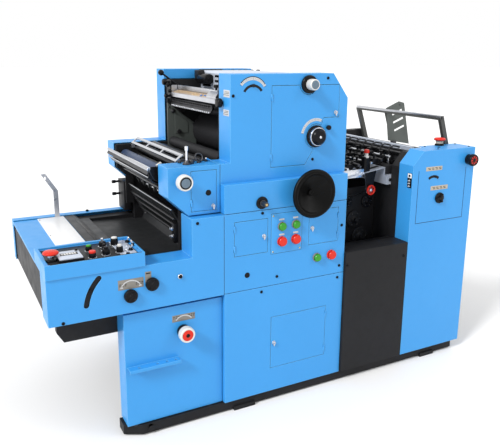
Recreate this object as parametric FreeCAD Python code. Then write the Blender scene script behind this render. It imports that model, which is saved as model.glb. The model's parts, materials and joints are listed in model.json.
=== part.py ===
import FreeCAD
import Part
import os
from math import atan2, cos, degrees, hypot, sin

from FreeCAD import Vector

# Small single-colour sheet-fed offset press.  Millimetres, +Z up.
# Origin: on the floor, at the middle of the printing tower and of the press width.
# +X runs from the delivery towards the feeder; the operator stands on the -Y side.

os.makedirs("parts", exist_ok=True)

# --- driving dimensions: along the press ---
tower_left = -317.0
tower_right = 317.0
upper_left = -270.0            # front edge of the inking section
upper_right = 327.0
upper_slope_x = 244.0          # where the sloped top corner starts
damping_left = -552.0
damping_corner_x = -464.0
block_left = -466.0            # raised end of the delivery cover
console_right = -672.0
delivery_left = -1059.0
cabinet_left = -763.0
far_cabinet_left = -515.0
feeder_left = 706.0
feeder_bevel_x = 769.0
feeder_right = 1121.0
seam = 3.0                     # gap between neighbouring covers

# --- driving dimensions: across the press, as distances from the middle ---
frame_outer = 340.0
frame_plate = 24.0
tower_face = 493.0
upper_face = 453.0
delivery_back = 374.0
far_delivery_back = 405.0
cabinet_face = 470.0
console_proud = 6.0            # the console stands this far in front of the delivery cover
feeder_face = 506.0
feeder_back = 405.0
sheet = 3.0                    # cover steel
inner_span = frame_outer - frame_plate

# --- driving dimensions: heights ---
rail_bottom = 8.0
base_top = 52.0
lower_seam_z = 586.0
middle_seam_z = 944.0
band_top = 1070.0
upper_step_z = 1155.0
upper_slope_z = 1415.0
tower_top = 1525.0
damping_corner_z = 1029.0
delivery_bottom = 584.0
shelf_z = 775.0
console_top = 835.0
cabinet_top = 566.0
feeder_bevel_z = 1076.0
feeder_top = 1145.0
lower_panel_top = 685.0
far_feeder_top = 1112.0
far_strip_z = 785.0
far_frame_top = 1473.0         # far side plate of the tower

# --- fits ---
door_gap = 2.0
shaft_gap = 0.4
seat_gap = 0.4
knuckle_r = 4.0
knuckle_len = 14.0
door_sheet = 3.0


# ---------------------------------------------------------------- basic shapes
def box(x0, x1, y0, y1, z0, z1):
    return Part.makeBox(x1 - x0, y1 - y0, z1 - z0, Vector(x0, y0, z0))


def face_xz(points, y):
    corners = [Vector(x, y, z) for x, z in points]
    return Part.Face(Part.makePolygon(corners + corners[:1]))


def plate_xz(points, y0, y1):
    return face_xz(points, y0).extrude(Vector(0, y1 - y0, 0))


def plate_xy(points, z0, z1):
    corners = [Vector(x, y, z0) for x, y in points]
    return Part.Face(Part.makePolygon(corners + corners[:1])).extrude(Vector(0, 0, z1 - z0))


def rod_y(x, z, r, y0, y1):
    return Part.makeCylinder(r, y1 - y0, Vector(x, y0, z), Vector(0, 1, 0))


def rod_z(x, y, r, z0, z1):
    return Part.makeCylinder(r, z1 - z0, Vector(x, y, z0), Vector(0, 0, 1))


def turned_y(x, z, face, profile):
    """Solid of revolution standing out of a face at Y = -face; profile is (radius, distance out)."""
    corners = [Vector(x + r, -face - out, z) for r, out in profile]
    ring = Part.Face(Part.makePolygon(corners + corners[:1]))
    return ring.revolve(Vector(x, 0, z), Vector(0, 1, 0), 360)


def turned_z(x, y, base, profile):
    """Solid of revolution standing up from Z = base; profile is (radius, height)."""
    corners = [Vector(x + r, y, base + up) for r, up in profile]
    ring = Part.Face(Part.makePolygon(corners + corners[:1]))
    return ring.revolve(Vector(x, y, 0), Vector(0, 0, 1), 360)


def far_side(shape):
    return shape.mirror(Vector(0, 0, 0), Vector(0, 1, 0))


def fused(first, *others):
    return first.fuse(list(others)).removeSplitter()


def rect(x0, x1, z0, z1):
    return [(x0, z0), (x1, z0), (x1, z1), (x0, z1)]


def folded(points, thick):
    """Outline of a folded sheet: its upper line, and the same line one thickness to its right."""
    normals = []
    for (x0, z0), (x1, z1) in zip(points, points[1:]):
        length = hypot(x1 - x0, z1 - z0)
        normals.append(((z1 - z0) / length, (x0 - x1) / length))
    under = []
    for i, (x, z) in enumerate(points):
        ax, az = normals[max(i - 1, 0)]
        bx, bz = normals[min(i, len(normals) - 1)]
        grow = thick / (1 + ax * bx + az * bz)
        under.append((x + (ax + bx) * grow, z + (az + bz) * grow))
    return points + under[::-1]


def offset_outline(points, distance, y):
    """Face of an outline moved out (+) or in (-) by a distance."""
    return face_xz(points, y).makeOffset2D(distance, 2)


def sheet_cover(points, face, back):
    """Box-shaped steel cover on the operator side, open towards the frame."""
    outer = plate_xz(points, -face, -back)
    pocket = offset_outline(points, -sheet, -face + sheet).extrude(Vector(0, face - back, 0))
    return outer.cut(pocket)


def save(name, shape):
    solids = shape.Solids
    if not solids or not all(s.isValid() for s in solids):
        raise ValueError(name + " isn't a valid solid")
    result = solids[0] if len(solids) == 1 else Part.makeCompound(solids)
    result.exportStep("parts/" + name + ".step")
    print(name, len(solids), round(sum(s.Volume for s in solids) / 1e6, 3), "dm3")


# ---------------------------------------------------------------- hinged doors
class Door:
    """A flush steel door on two barrel hinges, in a cover at Y = -face."""

    def __init__(self, outline, face, hinge_side, hinge_heights, latch):
        self.outline = outline
        self.face = face
        self.side = hinge_side             # -1: hinges on the left edge, +1: on the right
        xs = [x for x, z in outline]
        edge = min(xs) if hinge_side < 0 else max(xs)
        self.axis_x = edge - hinge_side * door_gap
        self.heights = hinge_heights
        self.latch = latch

    def barrel(self, z):
        return rod_z(self.axis_x, -self.face, knuckle_r, z, z + knuckle_len)

    def notch(self, z, side):
        """Room for the other half's barrel, on one side of the hinge axis."""
        room = knuckle_r + 1.5
        low = self.axis_x - room if side < 0 else self.axis_x
        return box(low, low + room, -self.face - room, -self.face + room, z - seat_gap,
                   z + knuckle_len + seat_gap)

    def fit_cover(self, cover):
        """Cut the doorway in the cover and add the fixed half of each hinge."""
        front = -self.face
        cover = cover.cut(plate_xz(self.outline, front - 1, front + sheet + 1))
        for z in self.heights:
            cover = cover.cut(self.notch(z, self.side))
            cover = cover.fuse(self.barrel(z + knuckle_len + seat_gap))
        return cover.removeSplitter()

    def leaf(self, cutters=()):
        front = -self.face
        leaf = offset_outline(self.outline, -door_gap, front).extrude(Vector(0, door_sheet, 0))
        for z in self.heights:
            leaf = leaf.cut(self.notch(z + knuckle_len + seat_gap, -self.side))
            leaf = leaf.fuse(self.barrel(z))
        for cutter in cutters:
            leaf = leaf.cut(cutter)
        x, z = self.latch
        return fused(leaf, rod_y(x, z, 5.0, front - 9.0, front + 1.0))


upper_knob_at = (113.0, 1478.0)
upper_knob_room = 46.0
dial_at = (157.0, 1247.0)
dial_room = 56.0
wheel_at = (92.0, 1008.0)
wheel_r = 110.0
wheel_room = 8.0

upper_door = Door(
    [(-74, 1120), (104, 1120), (138, 1172), (200, 1328), (281, 1328), (281, 1476), (-74, 1476)],
    upper_face, -1, [1150, 1410], (262, 1351))
damping_door = Door(rect(-452, -334, 961, 1135), upper_face, -1, [985, 1085], (-351, 980))
middle_left_door = Door(rect(-271, -105, 748, 905), tower_face, -1, [768, 858], (-125, 826))
middle_right_door = Door(rect(110, 274, 749, 915), tower_face, 1, [768, 858], (128, 831))
lower_door = Door(rect(-82, 222, 172, 430), tower_face, 1, [195, 375], (-65, 300))


def upper_door_cutters(extra):
    """Round notches that keep the upper door clear of the knob and the dial."""
    knob = rod_y(*upper_knob_at, upper_knob_room + extra, -upper_face - 5, -upper_face + 10)
    dial = rod_y(*dial_at, dial_room + extra, -upper_face - 5, -upper_face + 10)
    return [knob, dial]


def wheel_cutter(extra):
    """Round notch that keeps the middle right door clear of the handwheel."""
    return rod_y(*wheel_at, wheel_r + wheel_room + extra, -tower_face - 5, -tower_face + 10)


# ---------------------------------------------------------------- base and frames
base_face = 481.0
base_left = -775.0
base_right = 1095.0
base_chamfer_x = 75.0
base_chamfer_y = 38.0
base_inner_y = 383.0
base_main_left = -512.0
base_rim = 70.0
base_deck = 8.0
rail_hole = (-665.0, 38.0)
rail_hole_r = 9.0
pad_x = [(-700.0, -600.0), (-266.0, -158.0), (865.0, 960.0)]
pad_face = 490.0
pad_inner = 400.0
middle_foot_width = 120.0


def base_frame():
    outline = [
        (base_left, -base_face + base_chamfer_y), (base_left + base_chamfer_x, -base_face),
        (base_right, -base_face), (base_right, base_face), (base_main_left, base_face),
        (base_main_left, -base_inner_y), (base_left, -base_inner_y)]
    body = plate_xy(outline, rail_bottom, base_top)
    under = box(base_main_left + base_rim, base_right - base_rim, -base_face + base_rim,
                base_face - base_rim, rail_bottom - 1, base_top - base_deck)
    body = body.cut(under)
    body = body.cut(rod_y(*rail_hole, rail_hole_r, -base_face - 1, -base_face + 40))
    pads = []
    for i, (x0, x1) in enumerate(pad_x):
        face = base_face - 12 if i == 0 else pad_face
        pads.append(box(x0, x1, -face, -pad_inner, 0, rail_bottom + 12))
        if i:
            pads.append(box(x0, x1, pad_inner, face, 0, rail_bottom + 12))
    pads.append(box(base_main_left + 12, base_main_left + 110, pad_inner, base_face - 12, 0,
                    rail_bottom + 12))
    half = middle_foot_width / 2
    reach = base_face - base_rim + 4
    pads.append(box(-half, half, -reach, reach, 0, base_top - base_deck + 1))
    return fused(body, *pads)


frame_left = -460.0
frame_right = 315.0
feeder_frame_right = 1095.0
near_frame_top = 672.0
deck_room = 22.0               # free height under the top of the feeder column


def tower_frame(top):
    """Side plate of the tower, with the head that carries the damping unit."""
    corner = tower_top - 15 - top
    outline = [
        (frame_left, base_top), (frame_right, base_top), (frame_right, upper_slope_z - 8 - corner),
        (upper_slope_x - 8, top), (upper_left + 8, top),
        (upper_left + 8, upper_step_z - 7), (damping_left + 7, upper_step_z - 7),
        (damping_left + 7, damping_corner_z + 4), (frame_left, middle_seam_z + 4)]
    return plate_xz(outline, -frame_outer, -frame_outer + frame_plate)


def tower_frames():
    near = tower_frame(tower_top - 15)
    bore = rod_y(*wheel_at, wheel_shaft_r + shaft_gap, -frame_outer - 1, -frame_outer + 30)
    return Part.makeCompound([near.cut(bore), far_side(tower_frame(far_frame_top))])


def delivery_frames():
    """Side plates under the delivery covers; the near one stands on the base."""
    left = delivery_left + 14
    top = delivery_frame_top
    right = tower_left - 5
    shared = [(right, middle_seam_z - 8), (block_left + 8, middle_seam_z - 8),
              (block_left + 8, top), (left, top), (left, delivery_bottom + 10), (-1012, delivery_bottom + 10),
              (-1012, 500), (-985, 455)]
    near = plate_xz(shared + [(-745, 455), (-745, base_top), (right, base_top)],
                    -delivery_back, -frame_outer)
    far = plate_xz(shared + [(-500, 455), (-500, base_top), (right, base_top)],
                   frame_outer, far_delivery_back)
    return Part.makeCompound([near, far])


def feeder_frames():
    """Side plates of the feeder; the near one is low beside the feed board."""
    gap_x = tower_right + seam
    near = plate_xz(
        [(gap_x, base_top), (feeder_frame_right, base_top), (feeder_frame_right, feeder_top - deck_room),
         (feeder_bevel_x + 4, feeder_top - deck_room), (feeder_left + 6, feeder_bevel_z - deck_room),
         (feeder_left + 6, near_frame_top), (gap_x, near_frame_top)],
        -feeder_back, -frame_outer)
    far = plate_xz(rect(upper_right + seam, feeder_frame_right, base_top, feeder_top), frame_outer,
                   feeder_back)
    step = box(guard_head[0] - 22, feeder_right, -frame_outer - guard_step, frame_outer + guard_step,
               guard_foot[1] - 14, feeder_top + 1)
    return Part.makeCompound([near.cut(step), far.cut(step)])


# ---------------------------------------------------------------- tower covers
middle_buttons = {
    "start_button_left": (-36.0, 860.0, 18.0),
    "start_button_right": (37.0, 861.0, 18.0),
    "stop_button_left": (-34.0, 790.0, 20.5),
    "stop_button_right": (39.0, 791.0, 20.5),
    "inching_button": (157.0, 685.0, 18.0),
    "emergency_button": (239.0, 686.0, 20.5),
}
button_stem_r = 11.0
button_head = 20.0
wheel_shaft_r = 16.0
knob_shaft_r = 7.0
cover_bottom = 55.0


def lower_cover_near():
    cover = sheet_cover(rect(tower_left, tower_right, cover_bottom, lower_seam_z - seam / 2),
                        tower_face, frame_outer)
    return lower_door.fit_cover(cover)


def middle_cover_near():
    cover = sheet_cover(rect(tower_left, tower_right, lower_seam_z + seam / 2, middle_seam_z - seam / 2),
                        tower_face, frame_outer)
    cover = middle_left_door.fit_cover(cover)
    doorway = plate_xz(middle_right_door.outline, -tower_face - 1, -tower_face + sheet + 1)
    keep = doorway.common(wheel_cutter(-door_gap))
    kept = keep.common(plate_xz(middle_right_door.outline, -tower_face, -tower_face + sheet))
    cover = middle_right_door.fit_cover(cover).fuse(kept)
    for x, z, r in middle_buttons.values():
        cover = cover.cut(rod_y(x, z, button_stem_r + shaft_gap, -tower_face - 1, -tower_face + 9))
    return cover.removeSplitter()


def band_cover_near():
    cover = sheet_cover(rect(tower_left, tower_right, middle_seam_z + seam / 2, band_top),
                        tower_face, frame_outer)
    cover = cover.cut(rod_y(*wheel_at, wheel_shaft_r + shaft_gap, -tower_face - 1, -tower_face + 9))
    return cover


def upper_outline():
    return [(tower_left, band_top), (upper_right, band_top), (upper_right, upper_slope_z),
            (upper_slope_x, tower_top), (upper_left, tower_top), (upper_left, upper_step_z),
            (tower_left, upper_step_z)]


def upper_cover_near():
    cover = sheet_cover(upper_outline(), upper_face, frame_outer)
    doorway = plate_xz(upper_door.outline, -upper_face, -upper_face + sheet)
    kept = [doorway.common(cutter) for cutter in upper_door_cutters(-door_gap)]
    cover = upper_door.fit_cover(cover)
    cover = cover.fuse(kept)
    for x, z in (upper_knob_at, dial_at):
        cover = cover.cut(rod_y(x, z, knob_shaft_r + shaft_gap, -upper_face - 1, -upper_face + 9))
    return cover.removeSplitter()


def upper_cover_far():
    """Cover with an inner flange that closes it above the far side plate."""
    cover = far_side(sheet_cover(upper_outline(), upper_face, frame_outer))
    top = tower_top - far_frame_top - seam
    slope = (upper_right - upper_slope_x) / (tower_top - upper_slope_z)
    flange = plate_xz([(upper_left, tower_top - top), (upper_slope_x + slope * top, tower_top - top),
                       (upper_slope_x, tower_top), (upper_left, tower_top)],
                      frame_outer, frame_outer + sheet)
    return fused(cover, flange)


def lower_cover_far():
    lower = sheet_cover(rect(tower_left, tower_right, cover_bottom, band_top), tower_face, frame_outer)
    return far_side(lower)


# ---------------------------------------------------------------- delivery
delivery_knobs = {"delivery_knob_left": (-736.0, 658.0), "delivery_knob_right": (-645.0, 693.0)}
delivery_knob_r = 28.0
arc_slot = [(-912.0, 647.0), (-893.0, 705.0), (-859.0, 752.0)]
arc_slot_half = 11.0
console_back = 258.0
console_rim = 14.0
console_panel_z = 825.0
plate_z = 783.0
far_plate_edge = 441.0


def arc_slot_cutter():
    (x0, z0), (x1, z1), (x2, z2) = arc_slot
    y = -tower_face - 1
    middle = Part.Arc(Vector(x0, y, z0), Vector(x1, y, z1), Vector(x2, y, z2)).toShape()
    centre = middle.Curve.Center
    outer = Part.makeCylinder(middle.Curve.Radius + arc_slot_half, sheet + 12,
                              Vector(centre.x, y, centre.z), Vector(0, 1, 0))
    inner = Part.makeCylinder(middle.Curve.Radius - arc_slot_half, sheet + 12,
                              Vector(centre.x, y, centre.z), Vector(0, 1, 0))
    wedge = Part.Face(Part.makePolygon([
        centre, centre + (Vector(x0, y, z0) - centre) * 1.4,
        centre + (Vector(x1, y, z1) - centre) * 1.6,
        centre + (Vector(x2, y, z2) - centre) * 1.4, centre])).extrude(Vector(0, sheet + 12, 0))
    ends = [rod_y(x, z, arc_slot_half, y, y + sheet + 12) for x, z in (arc_slot[0], arc_slot[2])]
    return outer.cut(inner).common(wedge).fuse(ends)


def delivery_outline(shelf):
    right = tower_left - seam
    return [(delivery_left, delivery_bottom), (right, delivery_bottom), (right, middle_seam_z - 2),
            (block_left, middle_seam_z - 2), (block_left, shelf), (delivery_left, shelf)]


def delivery_cover_near():
    cover = sheet_cover(delivery_outline(shelf_z), tower_face, delivery_back)
    cover = cover.cut(arc_slot_cutter())
    for x, z in delivery_knobs.values():
        cover = cover.cut(rod_y(x, z, knob_shaft_r + shaft_gap, -tower_face - 1, -tower_face + 9))
    return cover


def delivery_cover_far():
    return far_side(sheet_cover(delivery_outline(far_strip_z), upper_face, far_delivery_back))


def console_box():
    outline = [(delivery_left, shelf_z), (console_right, shelf_z), (console_right, console_top),
               (delivery_left, console_top)]
    front = -tower_face - console_proud
    body = plate_xz(outline, front, -console_back)
    tray = box(delivery_left + console_rim, console_right - console_rim / 2, front + console_rim / 2,
               -console_back - console_rim, console_panel_z, console_top + 1)
    hollow = box(delivery_left + sheet, console_right - sheet, front + sheet, -console_back - sheet,
                 shelf_z - 1, console_panel_z - sheet)
    body = body.cut(tray).cut(hollow)
    return body.cut(rod_z(*console_stop_at, stop_stem_r + shaft_gap, console_panel_z - 9,
                          console_panel_z + 1))


bracket_foot = (-857.0, -833.0)
delivery_frame_top = shelf_z - 6


def delivery_top_plate():
    """Blue deck across the delivery end, between the console and the far cover."""
    plate = box(delivery_left, board_left, -console_back + seat_gap, far_delivery_back - seat_gap,
                shelf_z - 3, shelf_z + 5)
    x0, x1 = bracket_foot
    return plate.cut(box(x0 - 1, x1 + 1, far_delivery_back - 32, far_delivery_back, shelf_z - 9, shelf_z + 9))


board_left = -812.0
board_thick = 4.0
ribbed_top = (-488.0, 945.0)


def delivery_board():
    """Dark delivery board with the upturned ribbed board at the press end."""
    low = shelf_z - 26
    flat = [(board_left + 1, shelf_z - 1), (-740, shelf_z - 1), (-690, low + 8), (frame_left - 30, low),
            (frame_left - 5, low)]
    rise = [(frame_left - 25, low), (-420, low), (-405, low + 36), ribbed_top]
    wide = plate_xz(folded(flat, board_thick), -frame_outer, frame_outer)
    narrow = plate_xz(folded(rise, board_thick), -inner_span, inner_span)
    return fused(wide, narrow)


def delivery_end_panel():
    return box(delivery_left + 6, delivery_left + 14, -delivery_back + seat_gap,
               far_delivery_back - seat_gap, delivery_bottom + 6, shelf_z - 3)


def bent_bracket():
    """Flat steel sheet stop on the far edge of the delivery, bent towards the end."""
    foot_x = bracket_foot[0]
    width = bracket_foot[1] - foot_x
    flat = 5.0
    bend_z = 919.0
    tip_x = -913.0
    tip_z = 1010.0
    y = far_delivery_back - 9
    outline = [(foot_x, delivery_frame_top), (foot_x + width, delivery_frame_top),
               (foot_x + width, bend_z), (tip_x + width, tip_z), (tip_x, tip_z), (foot_x, bend_z)]
    bar = plate_xz(outline, y, y + flat)
    slot = box(tip_x + 16, tip_x + 24, y - 10, y + 15, tip_z - 30, tip_z - 14)
    toe = box(foot_x, foot_x + width, y - 22, y, delivery_frame_top, delivery_frame_top + flat)
    return fused(bar.cut(slot), toe)


# ---------------------------------------------------------------- cabinets
cabinet_switch_at = (-505.0, 447.0)
shelf_bracket = (-754.0, -529.0, 330.0)     # left, right, height
shelf_depth = 36.0
shelf_holes = [-709.0, -629.0, -586.0, -547.0]
shelf_hole_r = 6.0


def cabinet_near():
    """Cabinet cover with the tool holder welded to its front."""
    right = tower_left - seam
    cover = sheet_cover(rect(cabinet_left, right, cover_bottom, cabinet_top), cabinet_face, delivery_back)
    left, end, z = shelf_bracket
    lug = box(left, end, -cabinet_face - shelf_depth, -cabinet_face, z - sheet, z)
    lip = box(left, end, -cabinet_face - shelf_depth, -cabinet_face - shelf_depth + sheet, z - 14, z)
    lug = lug.fuse(lip)
    for x in shelf_holes:
        lug = lug.cut(rod_z(x, -cabinet_face - shelf_depth / 2 - 1, shelf_hole_r, z - 10, z + 1))
    cover = fused(cover, lug)
    return cover.cut(rod_y(*cabinet_switch_at, knob_shaft_r + shaft_gap, -cabinet_face - 1,
                           -cabinet_face + 9))


def cabinet_far():
    right = tower_left - seam
    return far_side(sheet_cover(rect(far_cabinet_left, right, cover_bottom, cabinet_top),
                                cabinet_face, far_delivery_back))


# ---------------------------------------------------------------- damping unit
damping_knob_at = (-497.0, 1100.0)


def damping_outline():
    right = tower_left - seam
    return [(damping_left, damping_corner_z), (damping_corner_x, middle_seam_z + 4),
            (right, middle_seam_z + 4), (right, upper_step_z), (damping_left, upper_step_z)]


def damping_cover_near():
    cover = sheet_cover(damping_outline(), upper_face, frame_outer)
    cover = damping_door.fit_cover(cover)
    return cover.cut(rod_y(*damping_knob_at, knob_shaft_r + shaft_gap, -upper_face - 1, -upper_face + 9))


def damping_cover_far():
    return far_side(sheet_cover(damping_outline(), upper_face, frame_outer))


def damping_tray():
    """Water pan: bright front lip, bottom, and the back wall under the roller."""
    line = [(-594, 1108), (-584, 1134), (-574, 1108), (-560, 1084), (-520, 1068), (-466, 1072), (-440, 1104)]
    return plate_xz(folded(line, 3), -inner_span, inner_span)


def damping_guard():
    """Slotted guard: two bright flat bars joined by bridges, leaning over the rollers."""
    y0, y1 = -inner_span, inner_span
    outer = [(-466, 1155), (-463, 1152), (-427, 1181), (-430, 1184)]
    bar = plate_xz(outer, y0, y1)
    for y in (-296, -92, 112):
        bar = bar.cut(box(-456, -439, y, y + 190, 1140, 1200))
    lug = plate_xz([(-466, 1128), (-446, 1128), (-446, 1168), (-466, 1154)], y0, y0 + 4)
    return fused(bar, lug, far_side(lug))


# ---------------------------------------------------------------- inking unit
def ink_trough():
    """Folded steel ink duct on a bar between the side plates."""
    line = [(-222, 1446), (-218, 1408), (-240, 1398), (-265, 1396), (-268, 1413)]
    y0, y1 = -300.0, inner_span - 32
    duct = plate_xz(folded(line[::-1], 4), y0, y1)
    ends = [(-266, 1399), (-240, 1401), (-221, 1411), (-224, 1446), (-250, 1446), (-268, 1422)]
    near = plate_xz(ends, y0, y0 + 100)
    far = plate_xz(ends, y1 - 12, y1)
    return fused(duct, near, far, rod_y(-226, 1399, 8, -inner_span, inner_span))


def ink_roller_guard():
    """Bright guard over the ink rollers: slotted front and flat top."""
    y0, y1 = -inner_span, inner_span
    thick = 2.0
    outline = [(-70, 1425), (-70 + thick, 1425), (-70 + thick, 1507), (-60, 1518 - thick),
               (210, 1518 - thick), (210, 1518), (-61, 1518), (-70, 1508)]
    guard = plate_xz(outline, y0, y1)
    for row in (1438, 1463, 1488):
        for y in (-290, -130, 30, 190):
            guard = guard.cut(box(-75, -60, y, y + 110, row, row + 12))
    return guard


cylinder_at = (-30.0, 1205.0)
cylinder_r = 95.0
journal_r = 20.0


def plate_cylinder():
    body = rod_y(*cylinder_at, cylinder_r, -inner_span + 12, inner_span - 12)
    shaft = rod_y(*cylinder_at, journal_r, -inner_span + seat_gap, inner_span - seat_gap)
    gap = box(cylinder_at[0] - 12, cylinder_at[0] + 12, -inner_span + 30, inner_span - 30,
              cylinder_at[1] + cylinder_r - 14, cylinder_at[1] + cylinder_r + 5)
    return fused(body, shaft).cut(gap)


# ---------------------------------------------------------------- feeder
feeder_knob_at = (892.0, 897.0)
feeder_dial_at = (1078.0, 1083.0)
feeder_stop_at = (986.0, -386.0)
console_stop_at = (-1020.0, -416.0)
stop_stem_r = 11.0
top_plate_left = 860.0
top_plate_back = 366.0


def lower_panels():
    """Charcoal panels below the feed board, operator side and far side."""
    near = sheet_cover(rect(tower_right + seam, feeder_left - seam, cover_bottom + 3, lower_panel_top),
                       feeder_face, feeder_back)
    return Part.makeCompound([near, far_side(near)])


def feeder_outline(top):
    return [(feeder_left, cover_bottom + 5), (feeder_right, cover_bottom + 5), (feeder_right, top),
            (feeder_bevel_x, top), (feeder_left, top - feeder_top + feeder_bevel_z)]


def feeder_cover_near():
    cover = sheet_cover(feeder_outline(feeder_top), feeder_face, feeder_back)
    deck = box(top_plate_left, feeder_right, -feeder_back, -top_plate_back, feeder_top - sheet, feeder_top)
    cover = fused(cover, deck)
    for x, z in (feeder_knob_at, feeder_dial_at):
        cover = cover.cut(rod_y(x, z, knob_shaft_r + shaft_gap, -feeder_face - 1, -feeder_face + 9))
    return cover.cut(rod_z(*feeder_stop_at, stop_stem_r + shaft_gap, feeder_top - 9, feeder_top + 1))


def feeder_cover_far():
    return far_side(sheet_cover(feeder_outline(far_feeder_top), feeder_face, feeder_back))


def feed_board():
    """Sloping slotted feed board; it hangs from the tower plates and rests on the cross beam."""
    line = [(302, 980), (beam_left + 6, 1040), (beam_left + 6, beam_top)]
    board = plate_xz(folded(line, 4), -inner_span, inner_span)
    for y in (-240, -130, 80, 190):
        board = board.cut(box(380, 650, y, y + 40, 990, 1035))
    x, z = feed_wheel_at
    lug = plate_xz([(x - 34, 1020), (x - 16, z - 16), (x + 16, z - 16), (x + 34, 1030)],
                   -inner_span, -inner_span + 4)
    lug = lug.cut(rod_y(x, z, feed_pin_r + shaft_gap, -inner_span - 1, -inner_span + 10))
    return fused(board, lug)


front_plate_x = 716.0
beam_left = 684.0
beam_right = 764.0
beam_bottom = 952.0
beam_top = 1000.0
feed_wheel_at = (594.0, 930.0)
feed_pin_r = 8.0


def feeder_cross_bars():
    """Beam under the front of the suction head, and the bright rail above it."""
    beam = box(beam_left, beam_right, -frame_outer, frame_outer, beam_bottom, beam_top)
    rail = box(836, 856, -frame_outer, frame_outer, 1118, 1138)
    return Part.makeCompound([beam, rail])


def leaning_bar(x0, z0, x1, z1, y, half, thick):
    """Flat bar in an XZ plane from one point to another."""
    angle = atan2(z1 - z0, x1 - x0)
    dx, dz = -sin(angle) * half, cos(angle) * half
    outline = [(x0 + dx, z0 + dz), (x1 + dx, z1 + dz), (x1 - dx, z1 - dz), (x0 - dx, z0 - dz)]
    return plate_xz(outline, y - thick / 2, y + thick / 2)


guard_foot = (1085.0, 1085.0)
guard_head = (1018.0, 1283.0)
guard_y = 350.0
guard_step = 24.0
guard_bar = 22.0
guard_post = 26.0


def feeder_guard():
    """Tubular safety loop over the pile, leaning towards the press."""
    posts = [leaning_bar(*guard_foot, *guard_head, y, guard_post / 2, 20) for y in (-guard_y, guard_y)]
    bar = box(guard_head[0] - guard_bar / 2, guard_head[0] + guard_bar / 2, -guard_y - 10, guard_y + 10,
              guard_head[1] - guard_bar / 2, guard_head[1] + guard_bar / 2)
    middle = leaning_bar(*guard_foot, *guard_head, 92, 8, 12)
    foot = box(guard_foot[0] - 12, guard_foot[0] + 12, -guard_y - 10, guard_y + 10,
               guard_foot[1] - 14, guard_foot[1] + 6)
    return fused(posts[0], posts[1], bar, middle, foot)


def pile_plate():
    """Slotted guide plate that hangs on the loop, above the pile."""
    outline = [(1041, 1108), (1205, 1078), (1146, 1328), (1106, 1338), (1012, 1301)]
    x, z = guard_head
    plate = plate_xz(outline, 82, 86).cut(box(x - 40, x + guard_bar / 2, 80, 90, z - guard_bar / 2,
                                              z + guard_bar / 2))
    for i in range(3):
        x, z = 1098 + 12 * (2 - i), 1172 + 48 * i
        slot = [(x - 36, z - 14), (x + 38, z + 14), (x + 34, z + 26), (x - 40, z - 2)]
        plate = plate.cut(plate_xz(slot, 70, 90))
    return plate


def pile_front_plate():
    """Upright plate under the beam: the pile stands against it."""
    return box(front_plate_x, front_plate_x + 6, -frame_outer, frame_outer, base_top, beam_bottom)


def pile_table():
    """Sheet pile board between the feeder side plates."""
    half = frame_outer - seat_gap
    return box(front_plate_x + 16, feeder_right + 20, -half, half, 300, 318)


# ---------------------------------------------------------------- turning controls
def handwheel():
    reach = tower_face - frame_outer + frame_plate - 2
    profile = [(0, -reach), (wheel_shaft_r, -reach), (wheel_shaft_r, 24), (30, 24), (34, 30),
               (90, 52), (wheel_r - 6, 52), (wheel_r, 58), (wheel_r, 68), (wheel_r - 5, 74),
               (wheel_r - 12, 76), (84, 66), (34, 44), (26, 48), (18, 50), (0, 50)]
    return turned_y(*wheel_at, tower_face, profile)


def shaft_knob(at, face, rings, depth=11.0):
    """Turning knob on a shaft through the cover; rings are (radius, distance out)."""
    x, z = at
    profile = [(0, -depth), (knob_shaft_r, -depth), (knob_shaft_r, seat_gap)]
    profile += [(r, max(out, seat_gap)) for r, out in rings]
    profile += [(0, rings[-1][1])]
    return turned_y(x, z, face, profile)


white_knob_rings = [(18, 0), (18, 22), (30, 26), (33, 32), (33, 58), (30, 62)]
upper_knob_rings = [(40, 0), (40, 12), (36, 16), (24, 18), (24, 50), (22, 54)]
dial_rings = [(50, 0), (50, 8), (44, 10), (44, 20), (36, 24), (30, 26), (30, 40), (26, 44)]
switch_rings = [(28, 0), (28, 16), (26, 22), (22, 26), (33, 30), (34, 34), (34, 56), (30, 60)]
black_knob_rings = [(28, 0), (28, 14), (26, 18)]
side_dial_rings = [(27, 0), (27, 22), (31, 25), (31, 38), (28, 42)]


def feeder_handwheel():
    """Small red-rimmed wheel under the feed board, on a pin through its lug."""
    profile = [(0, -16), (feed_pin_r, -16), (feed_pin_r, 6), (20, 8), (27, 4), (27, 16), (22, 18),
               (10, 14), (0, 14)]
    return turned_y(*feed_wheel_at, inner_span, profile)


def stop_button(at, top):
    """Mushroom emergency stop: stem through the panel and a domed head."""
    x, y = at
    profile = [(0, -10), (stop_stem_r, -10), (stop_stem_r, 18), (28, 22), (31, 28), (30, 34),
               (24, 39), (12, 42), (0, 42)]
    return turned_z(x, y, top, profile)


def push_button(x, z, r):
    profile = [(0, -10), (button_stem_r, -10), (button_stem_r, 10), (r, 10), (r, 16), (r - 2, 19), (r - 6, button_head), (0, button_head)]
    return turned_y(x, z, tower_face, profile)


lever_pivot = (-201.0, 1438.0)
lever_ball = (-298.0, 1508.0)


lever_rod_r = 5.0
lever_ball_r = 15.0


def ink_lever():
    """Rod with a ball grip on a boss, at the far side plate."""
    y = inner_span - 12
    dx = lever_ball[0] - lever_pivot[0]
    dz = lever_ball[1] - lever_pivot[1]
    reach = hypot(dx, dz)
    profile = [(0, 0), (lever_rod_r, 0), (lever_rod_r, reach - 14), (11, reach - 11), (14, reach - 6),
               (lever_ball_r, reach), (14, reach + 6), (11, reach + 11), (6, reach + 14), (0, reach + 14)]
    arm = turned_z(0, 0, 0, profile)
    arm.rotate(Vector(0, 0, 0), Vector(0, 1, 0), degrees(atan2(dx, dz)))
    arm.translate(Vector(lever_pivot[0], y, lever_pivot[1]))
    boss = rod_y(*lever_pivot, 14, y - 8, inner_span - seat_gap)
    return fused(arm, boss)


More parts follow.
